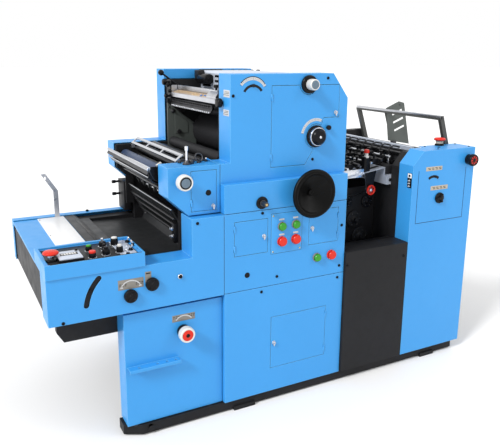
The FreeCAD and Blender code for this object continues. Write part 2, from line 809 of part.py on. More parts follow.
# ---------------------------------------------------------------- write every piece
save("base_frame", base_frame())
save("tower_frames", tower_frames())
save("delivery_frames", delivery_frames())
save("feeder_frames", feeder_frames())
save("lower_cover_near", lower_cover_near())
save("middle_cover_near", middle_cover_near())
save("band_cover_near", band_cover_near())
save("upper_cover_near", upper_cover_near())
save("lower_cover_far", lower_cover_far())
save("upper_cover_far", upper_cover_far())
save("delivery_cover_near", delivery_cover_near())
save("delivery_cover_far", delivery_cover_far())
save("cabinet_near", cabinet_near())
save("cabinet_far", cabinet_far())
save("damping_cover_near", damping_cover_near())
save("damping_cover_far", damping_cover_far())
save("console_box", console_box())
save("delivery_top_plate", delivery_top_plate())
save("delivery_end_panel", delivery_end_panel())
save("delivery_board", delivery_board())
save("bent_bracket", bent_bracket())
save("lower_panels", lower_panels())
save("feeder_cover_near", feeder_cover_near())
save("feeder_cover_far", feeder_cover_far())
save("feed_board", feed_board())
save("feeder_cross_bars", feeder_cross_bars())
save("feeder_guard", feeder_guard())
save("pile_plate", pile_plate())
save("pile_front_plate", pile_front_plate())
save("pile_table", pile_table())
save("damping_tray", damping_tray())
save("damping_guard", damping_guard())
save("ink_trough", ink_trough())
save("ink_roller_guard", ink_roller_guard())

save("handwheel", handwheel())
save("plate_cylinder", plate_cylinder())
save("upper_door", upper_door.leaf(upper_door_cutters(0)))
save("damping_door", damping_door.leaf())
save("middle_left_door", middle_left_door.leaf())
save("middle_right_door", middle_right_door.leaf([wheel_cutter(0)]))
save("lower_door", lower_door.leaf())
save("damping_knob", shaft_knob(damping_knob_at, upper_face, white_knob_rings))
save("upper_knob", shaft_knob(upper_knob_at, upper_face, upper_knob_rings))
save("impression_dial", shaft_knob(dial_at, upper_face, dial_rings))
save("cabinet_switch", shaft_knob(cabinet_switch_at, cabinet_face, switch_rings))
for name, at in delivery_knobs.items():
    save(name, shaft_knob(at, tower_face, black_knob_rings))
save("feeder_knob", shaft_knob(feeder_knob_at, feeder_face, black_knob_rings))
save("feeder_dial", shaft_knob(feeder_dial_at, feeder_face, side_dial_rings))
save("feeder_handwheel", feeder_handwheel())
save("console_stop", stop_button(console_stop_at, console_panel_z))
save("feeder_stop", stop_button(feeder_stop_at, feeder_top))
for name, (x, z, r) in middle_buttons.items():
    save(name, push_button(x, z, r))
save("ink_lever", ink_lever())
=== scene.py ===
import bpy
import bmesh
import json
import math
import random
from mathutils import Matrix, Vector


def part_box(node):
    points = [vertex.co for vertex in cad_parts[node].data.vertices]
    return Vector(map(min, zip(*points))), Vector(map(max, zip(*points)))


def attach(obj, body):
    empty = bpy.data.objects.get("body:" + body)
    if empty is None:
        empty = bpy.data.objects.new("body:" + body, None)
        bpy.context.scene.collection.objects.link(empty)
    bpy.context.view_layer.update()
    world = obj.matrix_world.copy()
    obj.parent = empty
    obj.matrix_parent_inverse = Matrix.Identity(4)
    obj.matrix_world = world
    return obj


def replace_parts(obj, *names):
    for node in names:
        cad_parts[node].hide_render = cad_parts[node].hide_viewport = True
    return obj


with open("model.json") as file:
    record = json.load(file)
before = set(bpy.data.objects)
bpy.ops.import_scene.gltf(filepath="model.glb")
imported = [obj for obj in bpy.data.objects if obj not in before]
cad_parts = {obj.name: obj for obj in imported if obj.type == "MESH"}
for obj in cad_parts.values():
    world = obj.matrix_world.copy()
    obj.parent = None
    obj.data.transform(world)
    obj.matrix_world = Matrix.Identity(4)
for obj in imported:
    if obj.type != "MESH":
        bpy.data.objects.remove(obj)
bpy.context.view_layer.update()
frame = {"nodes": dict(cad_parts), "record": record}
nodes = frame["nodes"]
scene = bpy.context.scene
random.seed(11)

# numbers below are millimetres in the press's own frame: x towards the feeder, -y towards the operator
toMetres = 0.001
sharpAngle = 40                                   # degrees; edges that turn more than this stay crisp


def nodeBox(name):
    low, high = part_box(name)
    return [v / toMetres for v in low], [v / toMetres for v in high]


def nodeCentre(name):
    low, high = nodeBox(name)
    return [(a + b) / 2 for a, b in zip(low, high)]


# outer faces of the covers, which the small parts sit on
towerFace = nodeBox("band_cover_near")[0][1]
upperFace = -nodeBox("upper_cover_far")[1][1]
deliveryFace = nodeBox("delivery_cover_near")[0][1]
cabinetFace = -nodeBox("cabinet_far")[1][1]
feederFace = nodeBox("feeder_cover_near")[0][1]
innerSide = -nodeBox("feed_board")[0][1]          # half the room between the side plates
towards = Vector((0, -1, 0))                      # out of the operator side
away = Vector((0, 1, 0))
upwards = Vector((0, 0, 1))


# builds one procedural material, layer by layer
class Finish:
    def __init__(self, name, colour, roughness, metallic=0.0, coat=0.0, specular=0.5, edge=0.0):
        self.material = bpy.data.materials.new(name)
        self.material.use_nodes = True
        self.tree = self.material.node_tree
        self.shader = self.tree.nodes["Principled BSDF"]
        self.colour = colour
        self.shader.inputs["Base Color"].default_value = (*colour, 1)
        self.shader.inputs["Metallic"].default_value = metallic
        self.shader.inputs["Roughness"].default_value = roughness
        self.shader.inputs["Specular IOR Level"].default_value = specular
        self.shader.inputs["Coat Weight"].default_value = coat
        self.shader.inputs["Coat Roughness"].default_value = 0.1
        self.place = self.tree.nodes.new("ShaderNodeTexCoord").outputs["Object"]
        self.height = None
        if edge:                                  # softly rounded sheet edges, radius in metres
            rounding = self.tree.nodes.new("ShaderNodeBevel")
            rounding.samples = 4
            rounding.inputs["Radius"].default_value = edge
            self.height = rounding.outputs["Normal"]
            self.link(self.height, self.shader.inputs["Normal"])
            self.flat = self.tree.nodes.new("ShaderNodeNewGeometry").outputs["True Normal"]

    def link(self, a, b):
        self.tree.links.new(a, b)

    def noise(self, size, detail=3.0, stretch=(1, 1, 1)):
        mapping = self.tree.nodes.new("ShaderNodeMapping")
        mapping.inputs["Scale"].default_value = stretch
        self.link(self.place, mapping.inputs["Vector"])
        noise = self.tree.nodes.new("ShaderNodeTexNoise")
        noise.inputs["Scale"].default_value = 1.0 / size
        noise.inputs["Detail"].default_value = detail
        self.link(mapping.outputs["Vector"], noise.inputs["Vector"])
        return noise.outputs["Fac"]

    def spread(self, value, low, high, fromLow=0.3, fromHigh=0.7):
        ranged = self.tree.nodes.new("ShaderNodeMapRange")
        for name, v in zip(("From Min", "From Max", "To Min", "To Max"), (fromLow, fromHigh, low, high)):
            ranged.inputs[name].default_value = v
        self.link(value, ranged.inputs["Value"])
        return ranged.outputs["Result"]

    # moves the colour towards another one where the value is high
    def tint(self, value, other, amount=1.0, fromLow=0.35, fromHigh=0.65):
        mix = self.tree.nodes.new("ShaderNodeMix")
        mix.data_type = "RGBA"
        source = self.shader.inputs["Base Color"]
        if source.is_linked:
            self.link(source.links[0].from_socket, mix.inputs["A"])
        else:
            mix.inputs["A"].default_value = (*self.colour, 1)
        mix.inputs["B"].default_value = (*other, 1)
        self.link(self.spread(value, 0.0, amount, fromLow, fromHigh), mix.inputs["Factor"])
        self.link(mix.outputs["Result"], source)
        return self

    def rough(self, value, low, high):
        self.link(self.spread(value, low, high), self.shader.inputs["Roughness"])
        return self

    # painted highlight: lightens the colour where the surface turns over a sheet edge, as if lit there
    def paintedHighlight(self, other, amount):
        turned = self.tree.nodes.new("ShaderNodeVectorMath")
        turned.operation = "DOT_PRODUCT"
        self.link(self.flat, turned.inputs[0])
        self.link(self.height, turned.inputs[1])
        return self.tint(turned.outputs["Value"], other, amount, 0.985, 0.88)

    def bump(self, value, depth):                 # depth is in metres
        bump = self.tree.nodes.new("ShaderNodeBump")
        bump.inputs["Strength"].default_value = 1.0
        bump.inputs["Distance"].default_value = depth
        self.link(value, bump.inputs["Height"])
        if self.height is not None:
            self.link(self.height, bump.inputs["Normal"])
        self.height = bump.outputs["Normal"]
        self.link(self.height, self.shader.inputs["Normal"])
        return self


# sprayed enamel: a slow colour drift, orange peel, fine dust, a thin clear gloss and, if asked, a painted highlight
# along the sheet edges
def paint(name, colour, shade, roughness=0.32, coat=0.25, orangePeel=0.00005, dust=None, specular=0.5, edge=0.0015,
          edgeHighlight=None):
    f = Finish(name, colour, roughness, coat=coat, specular=specular, edge=edge)
    f.tint(f.noise(0.45, 2.0), shade, 0.6)
    f.tint(f.noise(0.03, 4.0), tuple(c * 0.94 for c in colour), 0.35, 0.45, 0.75)
    if dust:
        f.tint(f.noise(0.02, 5.0), dust, 0.25, 0.55, 0.8)
    # painted highlight: a lighter colour along the rounded sheet edges
    if edgeHighlight:
        f.paintedHighlight(edgeHighlight, 0.85)
    f.rough(f.noise(0.06, 4.0), roughness - 0.05, roughness + 0.08)
    f.bump(f.noise(0.0025, 1.5), orangePeel)
    return f.material


# bare metal with a drawn grain across one axis
def metal(name, colour, roughness=0.28, grain=(1, 60, 1), depth=0.00002, shade=None, stain=0.5, metallic=1.0):
    f = Finish(name, colour, roughness, metallic=metallic, edge=0.0006)
    brushed = f.noise(0.02, 4.0, grain)
    if shade:
        f.tint(f.noise(0.05, 3.0), shade, stain)
    f.tint(brushed, tuple(c * 0.86 for c in colour), 0.5)
    f.rough(brushed, roughness - 0.06, roughness + 0.12)
    f.bump(brushed, depth)
    return f.material


# moulded plastic or rubber with a fine texture
def plastic(name, colour, shade, roughness=0.3, coat=0.2, grain=0.00002, specular=0.5):
    f = Finish(name, colour, roughness, coat=coat, specular=specular, edge=0.0008)
    f.tint(f.noise(0.01, 3.0), shade, 0.5)
    f.rough(f.noise(0.004, 3.0), roughness - 0.06, roughness + 0.1)
    f.bump(f.noise(0.0008, 2.0), grain)
    return f.material


colours = {
    "blue": (0.037, 0.280, 0.645),
    "blueShade": (0.033, 0.263, 0.615),
    "black": (0.010, 0.010, 0.011),
    "charcoal": (0.015, 0.015, 0.016),
    "greenGrey": (0.075, 0.088, 0.080),
    "steel": (0.62, 0.63, 0.66),
    "chrome": (0.78, 0.79, 0.82),
    "white": (0.62, 0.61, 0.585),
    "red": (0.62, 0.022, 0.008),
    "green": (0.035, 0.27, 0.018),
}

# the last colour, a lighter cyan, is a painted highlight along the blue sheet edges
bluePaint = paint("bluePaint", colours["blue"], colours["blueShade"], 0.36, 0.08, specular=0.4, edge=0.0032,
                  edgeHighlight=(0.16, 0.50, 0.80))
coarse, fine = 0.00008, 0.00002                   # depth of a paint's texture in metres
blackPaint = paint("blackPaint", colours["black"], (0.018, 0.018, 0.020), 0.46, 0.0, coarse,
                   (0.030, 0.029, 0.028), 0.16)
charcoalPaint = paint("charcoalPaint", colours["charcoal"], (0.018, 0.018, 0.020), 0.5, 0.0, coarse, specular=0.12)
boardPaint = paint("boardPaint", (0.016, 0.017, 0.018), (0.026, 0.027, 0.029), 0.42, 0.0, coarse,
                   (0.035, 0.035, 0.035), 0.2)
slatePaint = paint("slatePaint", (0.045, 0.047, 0.050), (0.034, 0.036, 0.038), 0.45, 0.0, coarse, specular=0.2)
greenGreyPaint = paint("greenGreyPaint", colours["greenGrey"], (0.095, 0.105, 0.098), 0.5, 0.0)
guardPaint = paint("guardPaint", (0.040, 0.042, 0.038), (0.055, 0.055, 0.050), 0.42, 0.1)
whitePaint = paint("whitePaint", (0.78, 0.78, 0.78), (0.72, 0.73, 0.74), 0.35, 0.2)
labelGrey = paint("labelGrey", (0.21, 0.195, 0.17), (0.15, 0.145, 0.135), 0.4, 0.1, fine, edge=0.0002)
labelCream = paint("labelCream", (0.42, 0.37, 0.29), (0.33, 0.30, 0.25), 0.42, 0.1, fine, edge=0.0002)
labelWhite = paint("labelWhite", (0.50, 0.51, 0.52), (0.42, 0.43, 0.45), 0.38, 0.1, fine, edge=0.0002)
brightSteel = metal("brightSteel", colours["steel"], 0.30, shade=(0.50, 0.51, 0.54))
barSteel = metal("barSteel", (0.70, 0.72, 0.76), 0.24, (1, 40, 1))
chromePlate = metal("chromePlate", colours["chrome"], 0.14, (1, 1, 1), 0.00001)
darkSteel = metal("darkSteel", (0.10, 0.10, 0.105), 0.4, shade=(0.04, 0.04, 0.045))
zincPlate = metal("zincPlate", (0.58, 0.63, 0.72), 0.42, (1, 12, 1), metallic=0.45)
brass = metal("brass", (0.62, 0.45, 0.20), 0.3, (1, 1, 1), 0.00001)
blackPlastic = plastic("blackPlastic", (0.005, 0.005, 0.006), (0.009, 0.009, 0.010), 0.28, 0.0, specular=0.14)
wheelPlastic = plastic("wheelPlastic", (0.0015, 0.0015, 0.0015), (0.002, 0.002, 0.002), 0.33, 0.0, 0.00001,
                       specular=0.11)
rubber = plastic("rubber", (0.016, 0.016, 0.018), (0.028, 0.028, 0.030), 0.55, 0.0, 0.00004, 0.15)
blueRubber = plastic("blueRubber", (0.020, 0.040, 0.095), (0.030, 0.055, 0.12), 0.42, 0.05, 0.00003)
inkTan = plastic("inkTan", (0.40, 0.27, 0.13), (0.30, 0.19, 0.09), 0.35, 0.4, 0.00006)
inkBlue = plastic("inkBlue", (0.03, 0.12, 0.34), (0.02, 0.09, 0.28), 0.2, 0.6, 0.00006)
whitePlastic = plastic("whitePlastic", colours["white"], (0.56, 0.55, 0.52), 0.34, 0.15)
redPlastic = plastic("redPlastic", colours["red"], (0.52, 0.016, 0.007), 0.3, 0.08, specular=0.28)
greenPlastic = plastic("greenPlastic", colours["green"], (0.024, 0.21, 0.014), 0.3, 0.08, specular=0.28)
dialGrey = plastic("dialGrey", (0.10, 0.15, 0.20), (0.07, 0.11, 0.15), 0.35, 0.1)

nodeFinish = {
    "blue_paint": bluePaint, "black_paint": blackPaint, "charcoal_paint": charcoalPaint,
    "guard_paint": guardPaint, "plate_paint": greenGreyPaint, "bright_steel": brightSteel,
    "black_plastic": blackPlastic, "white_plastic": whitePlastic, "red_plastic": redPlastic,
    "green_plastic": greenPlastic,
}
ownFinish = {
    "delivery_board": boardPaint, "plate_cylinder": rubber, "damping_tray": darkSteel,
    "ink_roller_guard": zincPlate, "damping_guard": barSteel, "feeder_cross_bars": zincPlate,
    "feed_board": zincPlate,
}
for part in frame["record"]["subparts"]:
    finish = ownFinish.get(part["node"], nodeFinish[part["material_slot"]])
    mesh = nodes[part["node"]].data
    if not mesh.materials:
        mesh.materials.append(finish)
    for i in range(len(mesh.materials)):
        mesh.materials[i] = finish
print("materials on", len(nodes), "nodes")


# rounds the corners of a profile or an open outline
def softened(line, radius):
    rounded = [line[0]]
    for before, corner, after in zip(line, line[1:], line[2:]):
        b, c, a = Vector(before), Vector(corner), Vector(after)
        reach = min(radius, (b - c).length / 2.1, (a - c).length / 2.1)
        first = c + (b - c).normalized() * reach
        last = c + (a - c).normalized() * reach
        rounded += [tuple(first), tuple((first + last) / 4 + c / 2), tuple(last)]
    return rounded + [line[-1]]


# points on the circle through three points
def arcThrough(first, middle, last, count=17):
    (ax, ay), (bx, by), (cx, cy) = first, middle, last
    d = 2 * (ax * (by - cy) + bx * (cy - ay) + cx * (ay - by))
    a2, b2, c2 = ax * ax + ay * ay, bx * bx + by * by, cx * cx + cy * cy
    x = (a2 * (by - cy) + b2 * (cy - ay) + c2 * (ay - by)) / d
    y = (a2 * (cx - bx) + b2 * (ax - cx) + c2 * (bx - ax)) / d
    start, way, end = (math.atan2(q - y, p - x) for p, q in (first, middle, last))
    while way > start:
        way -= 2 * math.pi
    while end > start:
        end -= 2 * math.pi
    if way < end:                                 # the middle lies the other way round
        end += 2 * math.pi
    radius = math.hypot(ax - x, ay - y)
    return (x, y), radius, [start + (end - start) * i / (count - 1) for i in range(count)]


def arcBand(first, middle, last, half, count=17):
    (x, y), radius, turns = arcThrough(first, middle, last, count)
    outer = [(x + (radius + half) * math.cos(t), y + (radius + half) * math.sin(t)) for t in turns]
    inner = [(x + (radius - half) * math.cos(t), y + (radius - half) * math.sin(t)) for t in turns]
    return outer + inner[::-1]


# outline of a toothed wheel; tip and root are heights about its radius
def toothed(x, z, radius, teeth, tip, root):
    outline = []
    for i in range(teeth * 4):
        turn = 2 * math.pi * i / (teeth * 4)
        reach = radius + (tip if i % 4 in (1, 2) else root)
        outline.append((x + reach * math.cos(turn), z + reach * math.sin(turn)))
    return outline


# one mesh object made of several closed shapes, each with one of its finishes
class Piece:
    def __init__(self, name, body, slot, *finishes):
        self.name, self.body, self.slot, self.finishes = name, body, slot, finishes
        self.mesh = bmesh.new()
        self.stand = Matrix()

    def add(self, points, faces, finish=0, bevel=0.0, segments=2):
        corners = [self.mesh.verts.new(self.stand @ Vector(p)) for p in points]
        made = [self.mesh.faces.new([corners[i] for i in face]) for face in faces]
        for face in made:
            face.material_index = finish
        if bevel:
            bmesh.ops.recalc_face_normals(self.mesh, faces=made)
            edges = list(dict.fromkeys(e for face in made for e in face.edges if e.calc_face_angle(0) > 0.5))
            bmesh.ops.bevel(self.mesh, geom=edges, offset=bevel, segments=segments, profile=0.5,
                            affect="EDGES", clamp_overlap=True, material=-1)

    # revolves (radius, distance) pairs about a line; both ends are closed
    def turned(self, at, along, profile, finish=0, steps=32):
        axis = Vector(along).normalized()
        side = axis.orthogonal().normalized()
        other = axis.cross(side)
        points, rings = [], []
        for radius, reach in profile:
            middle = Vector(at) + axis * reach
            if radius <= 0:
                rings.append([len(points)])
                points.append(middle)
                continue
            rings.append(list(range(len(points), len(points) + steps)))
            for i in range(steps):
                turn = 2 * math.pi * i / steps
                points.append(middle + (side * math.cos(turn) + other * math.sin(turn)) * radius)
        faces = []
        for a, b in zip(rings, rings[1:]):
            for i in range(steps):
                j = (i + 1) % steps
                if len(a) == 1 and len(b) > 1:
                    faces.append((a[0], b[j], b[i]))
                elif len(b) == 1 and len(a) > 1:
                    faces.append((a[i], a[j], b[0]))
                elif len(a) > 1:
                    faces.append((a[i], a[j], b[j], b[i]))
        faces += [ring for ring in (rings[0], rings[-1]) if len(ring) > 1]
        self.add(points, faces, finish)

    def rod(self, start, end, radius, finish=0, steps=20, soft=1.0):
        line = Vector(end) - Vector(start)
        reach = line.length
        soft = min(soft, radius * 0.4, reach * 0.3)
        self.turned(start, line, [(radius - soft, 0), (radius, soft), (radius, reach - soft),
                                  (radius - soft, reach)], finish, steps)

    def block(self, low, high, finish=0, bevel=1.0):
        (a, b, c), (d, e, f) = low, high
        points = [(x, y, z) for x in (a, d) for y in (b, e) for z in (c, f)]
        faces = [(0, 1, 3, 2), (4, 6, 7, 5), (0, 4, 5, 1), (2, 3, 7, 6), (0, 2, 6, 4), (1, 5, 7, 3)]
        bevel = min(bevel, 0.3 * min(abs(d - a), abs(e - b), abs(f - c)))
        self.add(points, faces, finish, bevel)

    # pushes an outline through along one axis (0, 1 or 2); the outline gives the other two in order
    def plate(self, outline, axis, low, high, finish=0, bevel=0.0):
        count = len(outline)

        def corner(point, depth):
            rest = list(point)
            rest.insert(axis, depth)
            return rest

        points = [corner(p, low) for p in outline] + [corner(p, high) for p in outline]
        faces = [list(range(count)), list(range(2 * count - 1, count - 1, -1))]
        faces += [(i, (i + 1) % count, (i + 1) % count + count, i + count) for i in range(count)]
        self.add(points, faces, finish, bevel, 1)

    # round bar bent along points
    def bent(self, points, radius, finish=0, steps=10):
        line = [Vector(p) for p in points]
        rings, verts = [], []
        side = (line[1] - line[0]).orthogonal().normalized()
        for i, point in enumerate(line):
            ahead = (line[min(i + 1, len(line) - 1)] - line[max(i - 1, 0)]).normalized()
            side = (side - ahead * side.dot(ahead)).normalized()
            other = ahead.cross(side)
            rings.append(range(len(verts), len(verts) + steps))
            for k in range(steps):
                turn = 2 * math.pi * k / steps
                verts.append(point + (side * math.cos(turn) + other * math.sin(turn)) * radius)
        faces = [(a[k], a[(k + 1) % steps], b[(k + 1) % steps], b[k])
                 for a, b in zip(rings, rings[1:]) for k in range(steps)]
        faces += [list(rings[0]), list(rings[-1])]
        self.add(verts, faces, finish)

    def spring(self, start, end, radius, wire, turns, finish=0):
        line = Vector(end) - Vector(start)
        side = line.orthogonal().normalized()
        other = line.normalized().cross(side)
        count = int(turns * 12)
        self.bent([Vector(start) + line * i / count + (side * math.cos(i * math.pi / 6) +
                   other * math.sin(i * math.pi / 6)) * radius for i in range(count + 1)], wire, finish, 6)

    # revolved shape with its corners softened
    def shaped(self, at, along, profile, soft, finish=0, steps=32):
        self.turned(at, along, softened(profile, soft), finish, steps)

    # short round boss or pin from one distance out to another
    def stub(self, at, along, radius, start, end, finish=0, steps=32, soft=1):
        self.shaped(at, along, [(0, start), (radius, start), (radius, end), (0, end)], soft, finish, steps)

    # bar, flat beam and roller from side plate to side plate
    def across(self, x, z, radius, finish=0, inset=1):
        self.rod((x, inset - innerSide, z), (x, innerSide - inset, z), radius, finish)

    def beam(self, x0, z0, x1, z1, finish=0, bevel=1.0):
        self.block((x0, 2 - innerSide, z0), (x1, innerSide - 2, z1), finish, bevel)

    def roller(self, x, z, radius, journal, inset, half, finish, soft=1.4, steps=48):
        long = 2 * half
        self.shaped((x, -half, z), away, [
            (0, 0), (journal, 0), (journal, inset), (radius, inset), (radius, long - inset),
            (journal, long - inset), (journal, long), (0, long)], soft, finish, steps)

    # thin plate on a face of the operator side, and a dash printed on one
    def label(self, x0, z0, x1, z1, face, finish=0):
        self.block((x0, face - 0.8, z0), (x1, face + 0.5, z1), finish, 0.2)

    def dash(self, x0, z0, x1, z1, face, finish):
        self.block((x0, face - 1.1, z0), (x1, face - 0.7, z1), finish, 0)

    # what follows is turned about a line along y through x and z
    def swing(self, x, z, degrees):
        self.stand = Matrix.Translation((x, 0, z)) @ Matrix.Rotation(math.radians(degrees), 4, "Y")

    # round-headed machine bolt with a socket
    def bolt(self, at, along, radius=6.5, height=4.2, finish=0):
        self.turned(at, along, [
            (0, -1), (radius, -1), (radius, height * 0.35), (radius * 0.84, height * 0.8),
            (radius * 0.52, height), (radius * 0.45, height * 0.4), (0, height * 0.4)], finish, 18)

    def done(self):
        bmesh.ops.recalc_face_normals(self.mesh, faces=self.mesh.faces)
        bmesh.ops.scale(self.mesh, vec=(toMetres,) * 3, verts=self.mesh.verts)
        data = bpy.data.meshes.new(self.name)
        self.mesh.to_mesh(data)
        self.mesh.free()
        for finish in self.finishes:
            data.materials.append(finish)
        data.shade_smooth()
        data.set_sharp_from_angle(angle=math.radians(sharpAngle))
        thing = bpy.data.objects.new(self.name, data)
        scene.collection.objects.link(thing)
        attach(thing, self.body)
        return thing


coverBolts = {
    "tower": [(-134, 564), (282, 564), (-134, 931), (295, 823), (290, 623), (-55, 625)],
    "upper": [(214, 1504), (144, 1143), (-258, 1436)],
    "delivery": [(-441, 922), (-1004, 592)],
    "panel": [(330, 621), (681, 617)],
    "farTower": [(-296, 80), (296, 80), (-296, 560), (296, 560), (-296, 1048), (296, 1048),
                 (0, 1048), (0, 560)],
    "farUpper": [(-250, 1440), (300, 1100), (-296, 1100), (214, 1504), (300, 1380)],
    "farDelivery": [(-683, 700), (-1030, 604), (-345, 604), (-345, 905), (-487, 770)],
    "radius": 6.8,
    "height": 4.2,
}


def addCoverBolts():
    faces = {"tower": towerFace, "upper": upperFace, "delivery": deliveryFace,
             "panel": feederFace, "farTower": -towerFace, "farUpper": -upperFace,
             "farDelivery": -upperFace}
    for side, out in (("near", towards), ("far", away)):
        bolts = Piece("coverBolts." + side, "press", "black_paint", blackPlastic)
        for group, face in faces.items():
            if (side == "far") == group.startswith("far"):
                for x, z in coverBolts[group]:
                    bolts.bolt((x, face, z), out, coverBolts["radius"], coverBolts["height"])
        bolts.done()


latches = {
    "at": {"upper_door": (262, 1351), "damping_door": (-351, 980), "middle_left_door": (-125, 826),
           "middle_right_door": (128, 831), "lower_door": (-65, 300)},
    "upper": ("upper_door", "damping_door"),      # doors that sit in the upper face
    "washer": 9.0,
    "drop": 15.0,
    "round": 6.8, "tip": 2.6,                     # half widths of the finger
}


# quarter-turn latch: pressed washer, round boss and a drop-shaped finger
def addLatches():
    washer, drop, wide, tip = (latches[k] for k in ("washer", "drop", "round", "tip"))
    for door, (x, z) in latches["at"].items():
        face = upperFace if door in latches["upper"] else towerFace
        latch = Piece("latch." + door, door, "bright_steel", brightSteel, darkSteel)
        latch.shaped((x, face, z), towards, [(0, -1), (washer, -1), (washer, 1.5), (washer - 2, 3), (0, 3)], 0.6)
        finger = [(x + wide * math.sin(t), z + wide * math.cos(t))
                  for t in [math.radians(a) for a in range(-115, 116, 23)]]
        finger += [(x + tip, z - drop), (x, z - drop - 2), (x - tip, z - drop)]
        latch.plate(finger, 1, face - 2.8, face - 8.0, 0, 1.0)
        latch.shaped((x, face, z), towards, [(0, 3), (6.4, 3), (6.4, 9.6), (4.6, 10.4), (0, 10.4)], 0.6)
        latch.block((x - 3.4, face - 10.8, z - 0.7), (x + 3.4, face - 9.9, z + 0.7), 1, 0.1)
        latch.done()


buttonPanel = {
    "left": -88, "right": 71, "bottom": 736, "top": 920,
    "thick": 1.2,
    "gasket": 1.4,
    "screwInset": 9,
    "label": (26, 8),                             # width and height of each strip
    "labelRise": 27,
    "gap": 1.3, "bezel": 1.8, "hole": 11.8,       # room round a button head, its ring and its stem hole
    "buttons": {"start_button_left": 0, "start_button_right": 0, "stop_button_left": 2,
                "stop_button_right": 2, "inching_button": 0, "emergency_button": 2},   # with the bezel's finish
}


def addButtonPanel():
    p = buttonPanel
    left, right, bottom, top, thick, gasket = (p[k] for k in ("left", "right", "bottom", "top", "thick", "gasket"))
    panel = Piece("buttonPlate", "press", "blue_paint", bluePaint, brass, blackPaint)
    # the dark line is the gasket that shows round the plate
    panel.block((left - gasket, towerFace - 0.4, bottom - gasket),
                (right + gasket, towerFace + 1, top + gasket), 2, 0.1)
    panel.block((left, towerFace - thick, bottom), (right, towerFace + 1, top), 0, 0.6)
    for x in (left + p["screwInset"], right - p["screwInset"]):
        for z in (bottom + p["screwInset"], top - p["screwInset"]):
            panel.bolt((x, towerFace - thick, z), towards, 3.6, 2.4, 1)
    panel.done()
    strips = Piece("buttonLabels", "press", "white_plastic", labelWhite)
    bezels = Piece("buttonBezels", "press", "white_plastic", labelGrey, brightSteel, redPlastic)
    (wide, high), rise, hole = p["label"], p["labelRise"], p["hole"]
    for node, finish in p["buttons"].items():
        x, _, z = nodeCentre(node)
        low, head = nodeBox(node)
        inside = (head[0] - low[0]) / 2 + p["gap"]
        rim = inside + p["bezel"]
        plated = z > bottom
        base = towerFace - (thick if plated else 0)
        bezels.shaped((x, base, z), towards, [
            (hole, -0.6), (rim, -0.6), (rim, 4), (inside + 1.4, 9), (inside, 9), (inside, 3), (hole, 3)],
            0.8, finish, 40)
        bezels.turned((x, base, z), towards, [(hole, 2.9), (inside, 2.9), (inside, 3.6), (hole, 3.6)], 1, 40)
        if plated:
            strips.block((x - wide / 2, base - 0.7, z + rise), (x + wide / 2, base + 0.5, z + rise + high), 0, 0.2)
    bezels.done()
    strips.done()


knobShaft = [(0, -11), (7, -11), (7, 2), (0, 2)]

# each turning knob has (finish, profile) shells; a profile is (radius, distance out of the face)
knobs = {
    "upper_knob": ("upper", "white_plastic", (whitePlastic, blackPlastic, dialGrey, darkSteel), [
        (3, knobShaft),
        (1, [(0, 0.4), (40, 0.4), (40, 10), (37.5, 13.5), (30, 15), (0, 15)]),
        (0, [(0, 14), (24, 14), (24, 49), (22.5, 53), (19.6, 53.6), (19, 52), (0, 52)]),
        (2, [(0, 51.8), (18.8, 51.8), (18.4, 53), (0, 53.4)])]),
    "damping_knob": ("upper", "white_plastic", (whitePlastic, blackPlastic, dialGrey, darkSteel), [
        (3, knobShaft),
        (0, [(0, 0.4), (18, 0.4), (18, 22), (30, 26), (33, 31), (33, 57), (30.5, 61.4), (27, 61.6),
             (25.5, 59), (0, 59)]),
        (1, [(0, 58.6), (25.3, 58.6), (25.3, 60), (20, 60), (0, 60)]),
        (2, [(0, 59.6), (19.6, 59.6), (19.2, 61.2), (0, 61.6)])]),
    "impression_dial": ("upper", "black_plastic", (blackPlastic, darkSteel, chromePlate, barSteel), [
        (3, knobShaft),
        (0, [(0, 0.4), (50, 0.4), (50, 7.6), (48, 9.6), (0, 9.6)]),
        (3, [(0, 9), (42, 9), (42, 23), (40.4, 25), (0, 25)]),
        (0, [(0, 24.6), (39, 24.6), (38.4, 29), (34, 32), (30, 38), (26, 41), (0, 41)]),
        (3, [(0, 40.6), (6, 40.6), (6, 42.8), (5, 43.8), (0, 43.8)])]),
    "cabinet_switch": ("cabinet", "white_plastic", (whitePlastic, blackPlastic, redPlastic, darkSteel), [
        (3, knobShaft),
        (1, [(0, 0.4), (28, 0.4), (28, 14), (25, 19), (22, 25), (0, 25)]),
        (0, [(0, 24.6), (24, 24.6), (33, 29), (34, 33), (34, 55), (31.4, 59.2), (27, 59.8),
             (25, 57.6), (0, 57.6)]),
        (2, [(0, 57.2), (24.8, 57.2), (24.2, 58.8), (0, 59)]),
        (1, [(0, 58.6), (9, 58.6), (8.4, 59.8), (0, 59.8)])]),
    "delivery_knob_left": ("delivery", "black_plastic", (blackPlastic, darkSteel), [
        (1, knobShaft),
        (0, [(0, 0.4), (28, 0.4), (28, 12), (25.6, 16), (21, 16.6), (20, 14.6), (8, 14.6), (7, 17),
             (0, 17.4)])]),
    "feeder_dial": ("feeder", "black_plastic", (blackPlastic, darkSteel, redPlastic), [
        (1, knobShaft),
        (0, [(0, 0.4), (27, 0.4), (27, 21), (31, 25), (31, 37), (28.6, 41.4), (24, 41.8), (22, 39),
             (0, 39)]),
        (2, [(0, 38.8), (21.8, 38.8), (21, 40), (0, 40)]),
        (0, [(0, 39.6), (8, 39.6), (7, 41.6), (0, 41.8)])]),
}
knobs["delivery_knob_right"] = knobs["delivery_knob_left"]
knobs["feeder_knob"] = ("feeder", "black_plastic", (blackPlastic, darkSteel), [
    (1, knobShaft),
    (0, [(0, 0.4), (28, 0.4), (28, 7), (26, 9), (0, 9)])])
# grip ribs: radius, count, depth and where they start
gripped = {
    "upper_knob": (23.9, 36, 1.1, 20), "damping_knob": (32.9, 44, 1.2, 34),
    "cabinet_switch": (33.9, 44, 1.2, 34), "feeder_dial": (30.9, 40, 1.2, 26),
}


